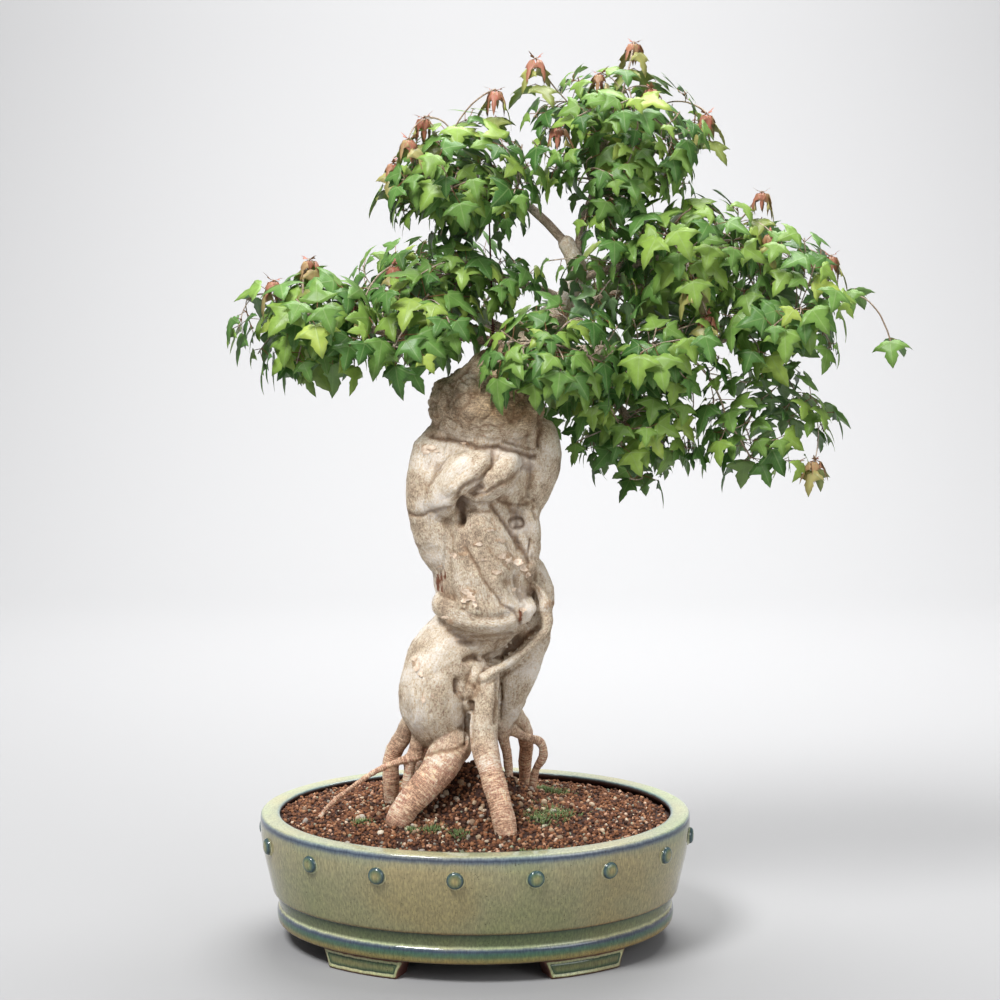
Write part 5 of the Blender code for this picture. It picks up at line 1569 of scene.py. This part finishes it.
def pad_targets(middle, sizes, count, draw, shell=PAD_SHELL):
    """Shoot tips spread evenly over a pad's outside: each is the farthest of a few tries."""
    found = []
    for _ in range(count):
        best = None
        for _ in range(PAD_TRIES):
            way = Vector((draw.gauss(0, 1), draw.gauss(0, 1), draw.gauss(0, 1) + PAD_LIFT))
            way.normalize()
            spot = way * draw.uniform(*shell)
            gap = min([(spot - other).length for other in found] or [9.0])
            if best is None or gap > best[0]:
                best = (gap, spot)
        found.append(best[1])
    return [Vector((middle[i] + sizes[i] * spot[i] for i in range(3))) * MM for spot in found]


def hang_leaf(name, node_name, place, way, length, draw, middle, clear, margin, tries, level=1.0):
    """A leaf that hangs from its stalk and faces out of the pad, if it finds room in its tries.
    With a low level it faces less up or down."""
    for _ in range(tries):
        turn = Vector([draw.uniform(-swing, swing) for swing in LEAF_SWING])
        stem = (way + turn).normalized()
        base = place + stem * draw.uniform(*STALK_PARTS) * length
        outward_way = (base - middle).normalized()
        if level < 1.0:
            outward_way = (outward_way * Vector((1.0, 1.0, level))).normalized()
        normal = (outward_way + FACE_LIFT + turn * LEAF_ROLL).normalized()
        fall = stem * HANG_ONWARD + HANG_DOWN + outward_way * HANG_OUTWARD
        along = (fall - normal * fall.dot(normal)).normalized()
        if along.dot(stem) < LEAST_ONWARD:
            continue
        fat, skin = check_leaf(place, base, along, normal, length * margin, clear)
        blade = [side for side in skin if max(side) < BLADE_POINTS]
        if (standing.blocks(fat[:BLADE_POINTS], blade)
                or standing.blocks(fat, skin, (name, node_name))):
            continue
        standing.add(name + " leaf", fat[:BLADE_POINTS], blade)
        standing.add(node_name, *check_leaf(place, base, along, normal, length, MAIN_THICK))
        across = along.cross(normal).normalized()
        return place, base, across, along, across.cross(along), length
    return None


def pair_ways(path, part, k):
    """Where a pair of leaves stands on a shoot, and the two ways that its stalks go."""
    runs = sample(path, PAIR_STEP)
    place, along, _ = runs[min(round(part * len(runs)), len(runs) - 2)]
    out = along.cross(UP).normalized()
    if k % 2:
        out = out * math.cos(PAIR_TURN) + out.cross(along) * math.sin(PAIR_TURN)
    return place, [out * side + along * PAIR_ONWARD + UP * PAIR_RISE for side in (-1, 1)]


# The main shoots and leaves come first, branch by branch.
growth = {}
for name, plan in BRANCHES.items():
    wood = in_metres(plan["wood"])
    standing.add(name, *plain_tube(sized(wood, 1.0, SOCKET), BRANCH_SIDES))
    ends = sample(wood[len(wood) // 3:], SHOOT_PITCH)
    draw = random.Random(f"{SEED} {name}")
    tips = []
    for middle, sizes, count, lengths in plan["pads"]:
        for target in pad_targets(middle, sizes, count, draw):
            tips.append((target, Vector(middle) * MM, lengths, MAIN_PLACES))
    for tip in plan["whips"]:
        tips.append((Vector(tip) * MM, Vector(tip) * MM, WHIP_LEAVES, MAIN_PLACES[-1:]))
    shoots = []
    for number, (target, *leaves) in enumerate(tips):
        path = shoot_path(target, ends, SHOOT_STEPS)
        if standing.blocks(*plain_tube(sized(path, 1.0, SHOOT_CLEAR), SHOOT_SIDES), (name,)):
            continue
        standing.add(name, *plain_tube(path, SHOOT_SIDES))
        finer = shoot_path(target, ends, SHOOT_STEPS * SHOOT_FINER)
        ends = ends + sample(path, SHOOT_PITCH)
        shoots.append((number, path, finer, *leaves))
    hung = []
    for number, path, _, middle, lengths, places in shoots:
        draw = random.Random(f"{SEED} {name} {number}")
        for k, part in enumerate(places):
            place, ways = pair_ways(path, part, k)
            for way in ways:
                length = draw.uniform(*lengths) * MM
                grown = hang_leaf(name, f"{name} {number} {k}", place, way, length, draw, middle,
                                  MAIN_CLEAR, MAIN_MARGIN, MAIN_TRIES)
                if grown:
                    tip_number = number - sum(pad[2] for pad in plan["pads"])
                    if tip_number not in YOUNG_TIPS.get(name, ()):
                        hung.append((*grown[:5], grown[5] * MAIN_DRAWN, *GROWN_LEAF))
    runs = [sized(finer, SHOOT_SLIM) for _, _, finer, *_ in shoots]
    growth[name] = {"ends": ends, "shoots": shoots, "leaves": hung, "runs": [wood] + runs}

# Between them grow finer shoots and smaller leaves, until each pad is full. One more pad of them
# hides the leader, which has no main shoots of its own.
FILL_SHOOTS = 10.0
FILL_STEPS = 6
FILL_SLIM = 0.5
FILL_DRAWN = 0.42
FILL_SHELL = (0.30, 1.0)
FILL_PLACES = (0.30, 0.52, 0.76, 1.0)
MORE_PLACES = (0.22, 0.46, 0.86)
FILL_SIZES = (0.42, 0.72)
FILL_CLEAR = 0.5 * MM
FILL_TRIES = 7
FILL_PADS = {"branch_right_upper": [((121, -30, 726), (58, 54, 56), 3, (36, 46))],
             "branch_apex": [((150, -20, 790), (60, 50, 40), 2, (34, 42))]}
CAD_MARGIN = 0.5 * MM
cad_low = np.array(cad_box[0]) - POT_AT + CAD_MARGIN
cad_high = np.array(cad_box[1]) - POT_AT - CAD_MARGIN


def within(leaf):
    """True if no point of the leaf leaves the box of the whole tree."""
    _, base, across, along, up, length = leaf[:6]
    tips = np.array([base + length * (across * x + along * y + up * z)
                     for x, y, z in ((0.67, 0.3, -0.2), (-0.67, 0.3, -0.2), (0, 1, -0.2))])
    return (tips > cad_low).all() and (tips < cad_high).all()


for name, plan in BRANCHES.items():
    grown_here = growth[name]
    draw = random.Random(f"{SEED} {name} fill")
    fillers = []
    for middle, sizes, count, lengths in plan["pads"] + FILL_PADS.get(name, []):
        wanted = round(count * FILL_SHOOTS)
        for target in pad_targets(middle, sizes, wanted, draw, FILL_SHELL):
            path = shoot_path(target, grown_here["ends"], SHOOT_STEPS)
            slim = plain_tube(sized(path, FILL_SLIM), SHOOT_SIDES)
            if standing.blocks(*slim, (name,)):
                continue
            standing.add(name, *slim)
            finer = shoot_path(target, grown_here["ends"], FILL_STEPS)
            grown_here["runs"].append(sized(finer, FILL_DRAWN))
            fillers.append((path, Vector(middle) * MM, lengths, FILL_PLACES))
    for _, path, _, middle, lengths, places in grown_here["shoots"]:
        if len(places) > 1:
            fillers.append((path, middle, lengths, MORE_PLACES))
    for number, (path, middle, lengths, places) in enumerate(fillers):
        for k, part in enumerate(places):
            place, ways = pair_ways(path, part, k + number)
            for way in ways:
                length = draw.uniform(*lengths) * draw.uniform(*FILL_SIZES) * MM
                grown = hang_leaf(name, f"{name} fill {number} {k}", place, way, length, draw,
                                  middle, FILL_CLEAR, 1.0, FILL_TRIES, FILL_LEVEL)
                if grown and within(grown):
                    grown_here["leaves"].append((*grown, *GROWN_LEAF))

# Young shoots. Each tip holds its newest leaves folded down round it like a shut umbrella, salmon
# red, with a still smaller pair that spreads on top, and a paler, larger pair or two further down.
# A tier is its drop below the tip in mm, its number of leaves, their lengths in mm, their slopes in
# degrees, their width for their length, how young they are and their shades.
YOUNG_TIERS = [
    (1, 2, (8, 12), (18, 48), 0.45, 1.0, (0.70, 1.0)),
    (1, 6, (17, 27), (-84, -58), 0.45, 0.95, (0.45, 0.95)),
    (9, 2, (25, 32), (-74, -52), 0.80, 0.85, (0.05, 0.45)),
    (27, 2, (27, 35), (-55, -30), 0.95, 0.55, (0.0, 0.15))]
YOUNG_STALK = 0.22
YOUNG_STRAY = 0.25
YOUNG_SPOTS = {
    "branch_apex": [(181, -20, 901), (128, -20, 916), (86, -30, 862), (206, 10, 838)],
    "branch_upper_left": [(-66, -40, 850)],
    "branch_right_upper": [(304, -30, 754), (221, -70, 706), (237, -60, 672)],
    "branch_left_low": [(-126, -40, 684), (-206, -30, 706)],
    "branch_right": [(354, -30, 520), (372, 10, 730)],
}


def young_shoot(tip, tiers, draw):
    """The leaves of a young shoot whose tip is here."""
    grown = []
    turn = draw.uniform(0.0, math.pi)
    for drop, count, lengths, slopes, width, young, shades in tiers:
        turn += math.pi / 2
        for k in range(count):
            ahead = turn + 2 * math.pi * k / count + draw.uniform(-YOUNG_STRAY, YOUNG_STRAY)
            out = Vector((math.cos(ahead), math.sin(ahead), 0.0))
            slope = math.radians(draw.uniform(*slopes))
            along = out * math.cos(slope) + UP * math.sin(slope)
            normal = UP * math.cos(slope) - out * math.sin(slope)
            length = draw.uniform(*lengths) * MM
            place = tip - UP * (drop * MM)
            base = place + (out + along * 0.5) * YOUNG_STALK * length
            grown.append((place, base, along.cross(normal) * width, along, normal, length, young,
                          draw.uniform(*shades)))
    return [leaf for leaf in grown if within(leaf)]


for name in YOUNG_TIPS | YOUNG_SPOTS:
    plan = BRANCHES[name]
    grown_here = growth[name]
    draw = random.Random(f"{SEED} {name} young")
    for k in YOUNG_TIPS.get(name, ()):
        tip = Vector(plan["whips"][k]) * MM
        grown_here["leaves"] += young_shoot(tip, YOUNG_TIERS, draw)
    for spot in YOUNG_SPOTS.get(name, ()):
        tip = Vector(spot) * MM
        finer = shoot_path(tip, grown_here["ends"], FILL_STEPS)
        grown_here["runs"].append(sized(finer, FILL_DRAWN))
        grown_here["leaves"] += young_shoot(tip, YOUNG_TIERS[:3], draw)

# Leaves. Each is one thin blade on a thin stalk. The blade is three-lobed and slightly toothed,
# folded a little at its ribs and bent down at its tips. Its half outline is in parts of its
# length, out to the side and along the midrib.
LEAF_HALF = [
    (0.035, -0.012), (0.14, -0.05), (0.32, 0.0), (0.38, 0.075), (0.52, 0.13), (0.66, 0.30),
    (0.50, 0.285), (0.38, 0.335), (0.18, 0.41), (0.245, 0.57), (0.19, 0.64), (0.155, 0.76),
    (0.10, 0.84)]
RIB_POINTS = [(0.0, 0.10), (0.0, 0.36), (0.0, 0.66), (0.30, 0.165), (-0.30, 0.165)]
BLADE_THICK = 0.007
STALK_THICK = 0.55 * MM
STALK_RINGS = [(0.0, 1.4), (0.25, 0.75), (1.0, 0.8)]
TWIG_RESOLUTION = 1
TWIG_STEPS = 2
TWIG_WANDER = 0.63 * MM
TWIG_WAVE = 14 * MM
RIB_DEEP = 0.014
LEAF_CURL = (0.35, 1.5)
LEAF_WIDTH = (0.92, 1.08)
LEAF_TONES = (0.42, 0.24)


def blade_height(x, y):
    """How far the blade lies over its flat plane, in parts of its length."""
    return 0.15 * abs(x) - 0.50 * x * x - 0.12 * y * y + 0.03 * math.sin(math.pi * min(y, 1.0))


outline = LEAF_HALF + [(0.0, 1.0)] + [(-x, y) for x, y in reversed(LEAF_HALF)]
flat = [Vector(p) for p in outline + RIB_POINTS]
flat, _, blade_faces, *_ = geometry.delaunay_2d_cdt(flat, [], [list(range(len(outline)))], 1, 1e-6)
around = len(outline)
over = np.array([(p.x, p.y, blade_height(p.x, p.y) - (RIB_DEEP if i >= around else 0.0))
                 for i, p in enumerate(flat)])
under = over - (0.0, 0.0, BLADE_THICK)
leaf_faces = [tuple(face) for face in blade_faces]
leaf_faces += [tuple(i + len(flat) for i in reversed(face)) for face in blade_faces]
leaf_faces += [(i, i + len(flat), (i + 1) % around + len(flat), (i + 1) % around)
               for i in range(around)]
blade_mesh = bpy.data.meshes.new("leaf blade")
blade_mesh.from_pydata(np.vstack([over, under]).tolist(), [], leaf_faces)
stalk_points = [(r * math.cos(a), r * math.sin(a), t) for t, r in STALK_RINGS
                for a in (0.5, 2.6, 4.7)]
stalk_faces = [(low + i, low + (i + 1) % 3, low + 3 + (i + 1) % 3, low + 3 + i)
               for low in range(0, 6, 3) for i in range(3)] + [(2, 1, 0), (6, 7, 8)]
stalk_mesh = bpy.data.meshes.new("leaf stalk")
stalk_mesh.from_pydata(stalk_points, [], stalk_faces)
turned_out(blade_mesh)
turned_out(stalk_mesh)

# Maple leaf. A waxy blade that shines softly, mid green with paler ribs, bluish where it faces
# the sky and glowing yellow-green where light comes through it. Young ones are salmon and bronze.
leaf_green, tree, shader = new_finish("living maple leaf")
at_leaf = node(tree, "Attribute", {"attribute_name": "leaf_at"}, {}).outputs["Vector"]
parts = node(tree, "SeparateXYZ", {}, {"Vector": at_leaf})
tone, young, stalk, below = (
    node(tree, "Attribute", {"attribute_name": key}, {}).outputs["Fac"]
    for key in ("tone", "young", "stalk", "under"))
green = node(tree, "ValToRGB", {"stops": [
    (0.0, "#4a7636"), (0.30, "#68954a"), (0.55, "#86ab50"), (0.78, "#9cbc56"),
    (1.0, "#b6cb60")]}, {"Fac": tone})
bronze = node(tree, "ValToRGB", {"stops": [
    (0.0, "#bcc066"), (0.35, "#c3ac78"), (0.7, "#c27a69"), (1.0, "#b25c52")]}, {"Fac": tone})
fresh = node(tree, "MixRGB", {}, {"Fac": young, "Color1": green, "Color2": bronze})
# Three main ribs run to the lobes' tips, and side ribs leave them at a slant.
out = node(tree, "Math", {"operation": "ABSOLUTE"}, {0: parts.outputs[0]})
slant = node(tree, "Math", {"operation": "MULTIPLY", 1: 0.50}, {0: out})
off_side = node(tree, "Math", {"operation": "SUBTRACT"}, {0: parts.outputs[1], 1: slant})
side_rib = node(tree, "Math", {"operation": "ABSOLUTE"}, {0: off_side})
rib = node(tree, "Math", {"operation": "MINIMUM"}, {0: out, 1: side_rib})
rib_line = node(tree, "ValToRGB", {"stops": [(0.008, "#ffffff"), (0.03, "#000000")]},
                {"Fac": rib})
lean = node(tree, "Math", {"operation": "MULTIPLY_ADD", 1: -0.8},
            {0: out, 2: parts.outputs[1]})
comb = node(tree, "Math", {"operation": "MULTIPLY", 1: 60.0}, {0: lean})
wave = node(tree, "Math", {"operation": "SINE"}, {0: comb})
fine_rib = node(tree, "ValToRGB", {"stops": [(0.80, "#000000"), (1.0, "#ffffff")]},
                {"Fac": wave})
fine_part = node(tree, "Math", {"operation": "MULTIPLY", 1: 0.35}, {0: fine_rib})
ribs = node(tree, "Math", {"operation": "MAXIMUM"}, {0: rib_line, 1: fine_part})
rib_part = node(tree, "Math", {"operation": "MULTIPLY", 1: 0.34}, {0: ribs})
ribbed = node(tree, "MixRGB", {"Color2": srgb("#a8c080")}, {"Fac": rib_part, "Color1": fresh})
where = node(tree, "TexCoord", {}, {}).outputs["Object"]
blotch = node(tree, "TexNoise", {"Scale": 110.0, "Detail": 3.0}, {"Vector": where})
blotch_tone = node(tree, "ValToRGB", {"stops": [(0.3, "#acacac"), (0.7, "#d0d0d0")]},
                   {"Fac": blotch})
mottled = node(tree, "MixRGB", {"blend_type": "OVERLAY", "Fac": 0.7},
               {"Color1": ribbed, "Color2": blotch_tone})
# The underside is paler and greyer.
below_part = node(tree, "Math", {"operation": "MULTIPLY", 1: 0.4}, {0: below})
sided = node(tree, "MixRGB", {"Color2": srgb("#8fa888")},
             {"Fac": below_part, "Color1": mottled})
stalked = node(tree, "MixRGB", {"Color2": srgb("#9a6a4a")}, {"Fac": stalk, "Color1": sided})
skin = node(tree, "Bump", {"Strength": 0.35, "Distance": 0.4 * MM}, {"Height": ribs})
fit(tree, shader, {"Roughness": 0.36, "IOR": 1.44}, {"Base Color": stalked, "Normal": skin})
warm = node(tree, "MixRGB", {"blend_type": "MULTIPLY", "Fac": 1.0, "Color2": srgb("#f2f7a0")},
            {"Color1": stalked})
through = node(tree, "BsdfTranslucent", {}, {"Color": warm, "Normal": skin})
glow = node(tree, "MixShader", {"Fac": 0.36}, {1: shader, 2: through})
fit(tree, tree.nodes["Material Output"], {}, {"Surface": glow})

young_bark = bark_finish("young maple bark", 0.55)
for name, plan in BRANCHES.items():
    here = growth[name]
    twigs = []
    for run in here["runs"]:
        line = smooth_line(run, TWIG_STEPS)
        for k in range(3):
            line[1:-1, k] += TWIG_WANDER * noises(line[1:-1, :3], TWIG_WAVE, 3.0 + k)
        twigs.append(line + (*POT_AT, 0.0))
    wood = rods(name + "_twigs", twigs, TWIG_RESOLUTION)
    wood.data.shade_smooth()
    _, twig_grain = along_limbs(mesh_points(wood), twigs)
    mark(wood, "grain", twig_grain / MM)
    wood.data.materials.append(young_bark)
    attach(wood, "root")
    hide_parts(name)

    count = len(here["leaves"])
    froms, bases, acrosses, alongs, ups = (np.array([leaf[i] for leaf in here["leaves"]])
                                           for i in range(5))
    lengths = np.array([leaf[5] for leaf in here["leaves"]])
    young, shades = np.array([leaf[6:] for leaf in here["leaves"]]).T
    draw = np.random.default_rng(len(name) * 101 + count)
    curl = draw.uniform(*LEAF_CURL, count)
    blade_turns = np.stack([acrosses * draw.uniform(*LEAF_WIDTH, count)[:, None], alongs,
                            ups * curl[:, None]], axis=-1) * lengths[:, None, None]
    blades = bpy.data.objects.new(name + "_leaves", blade_mesh.copy())
    bpy.context.scene.collection.objects.link(blades)
    repeat(blades, blade_turns, bases + POT_AT)
    stems = bases - froms
    sides = unit(np.cross(stems, ups))
    rises = unit(np.cross(stems, sides))
    stalks = bpy.data.objects.new(name + "_stalks", stalk_mesh.copy())
    bpy.context.scene.collection.objects.link(stalks)
    stalk_turns = np.stack([sides * STALK_THICK, rises * STALK_THICK, stems], axis=-1)
    repeat(stalks, stalk_turns, froms + POT_AT)
    per_blade, per_stalk = len(blade_mesh.vertices), len(stalk_mesh.vertices)
    tones = np.where(shades < 0.0, np.clip(draw.normal(*LEAF_TONES, count), 0.0, 1.0), shades)
    choose(stalks, blades)
    bpy.ops.object.join()
    local = np.vstack([over, under])
    leaf_at = np.column_stack([local[:, :2], np.zeros(len(local))])
    mark(blades, "leaf_at", np.vstack([np.tile(leaf_at, (count, 1)),
                                       np.full((count * per_stalk, 3), 0.5)]))
    for key, on_blade, on_stalk in (("tone", tones, tones), ("young", young, young),
                                    ("stalk", np.zeros(count), np.ones(count))):
        mark(blades, key, np.concatenate([np.repeat(on_blade, per_blade),
                                          np.repeat(on_stalk, per_stalk)]))
    below = np.tile(np.repeat([0.0, 1.0], per_blade // 2), count)
    mark(blades, "under", np.concatenate([below, np.zeros(count * per_stalk)]))
    blades.data.materials.append(leaf_green)
    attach(blades, "root")
    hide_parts(name)

# Floor and light. One sheet of pale paper makes the floor and, in a soft curve behind the tree,
# the wall. Large soft lights stand left, right and above, and one lights the wall.
SWEEP_WIDE = 9.0
SWEEP_FRONT = -4.5
SWEEP_BACK = 3.2
SWEEP_HIGH = 5.0
SWEEP_ROUND = 1.2
SWEEP_SEGMENTS = 24
TREE_AIM = (0.0, 0.0, 0.5)
LIGHTS = [
    ("key light", (-1.3, -1.6, 3.1), 1.2, 132.0, TREE_AIM),
    ("fill light", (1.9, -2.0, 1.3), 1.8, 25.0, TREE_AIM),
    ("top light", (0.3, 1.0, 2.9), 2.2, 112.0, TREE_AIM),
    ("wall light", (0.0, 1.8, 2.2), 2.4, 80.0, (0.0, 3.2, 0.9))]

sweep = begun("studio_sweep", bpy.ops.mesh.primitive_plane_add, size=1.0)
bpy.ops.object.mode_set(mode="EDIT")
bpy.ops.mesh.select_mode(type="EDGE")
bpy.ops.mesh.select_all(action="SELECT")
bpy.ops.transform.resize(value=(SWEEP_WIDE, SWEEP_BACK - SWEEP_FRONT, 1.0))
bpy.ops.transform.translate(value=(0.0, (SWEEP_BACK + SWEEP_FRONT) / 2, 0.0))
bpy.ops.object.mode_set(mode="OBJECT")
for far in sweep.data.edges:
    far.select = all(sweep.data.vertices[i].co.y > 0.0 for i in far.vertices)
for point in sweep.data.vertices:
    point.select = point.co.y > 0.0
for face in sweep.data.polygons:
    face.select = False
bpy.ops.object.mode_set(mode="EDIT")
bpy.ops.mesh.extrude_edges_move(TRANSFORM_OT_translate={"value": (0.0, 0.0, SWEEP_HIGH)})
bpy.ops.object.mode_set(mode="OBJECT")
shape_by(sweep, "curve", "BEVEL", width=SWEEP_ROUND, segments=SWEEP_SEGMENTS)
bpy.ops.object.shade_smooth()
paper, paper_tree, paper_shader = new_finish("matt background paper")
fit(paper_tree, paper_shader, {"Base Color": srgb("#9b9b9c"), "Roughness": 0.9}, {})
sweep.data.materials.append(paper)

for name, place, side, power, aim in LIGHTS:
    light = begun(name, bpy.ops.object.light_add, type="AREA", location=place)
    light.rotation_euler = (Vector(aim) - Vector(place)).to_track_quat("-Z", "Y").to_euler()
    light.data.shape = "DISK"
    light.data.size = side
    light.data.energy = power
world = bpy.data.worlds.new("studio air")
world.use_nodes = True
fit(world.node_tree, world.node_tree.nodes["Background"],
    {"Color": srgb("#efeeee"), "Strength": 0.34}, {})
bpy.context.scene.world = world
bpy.context.scene.view_settings.view_transform = "Standard"
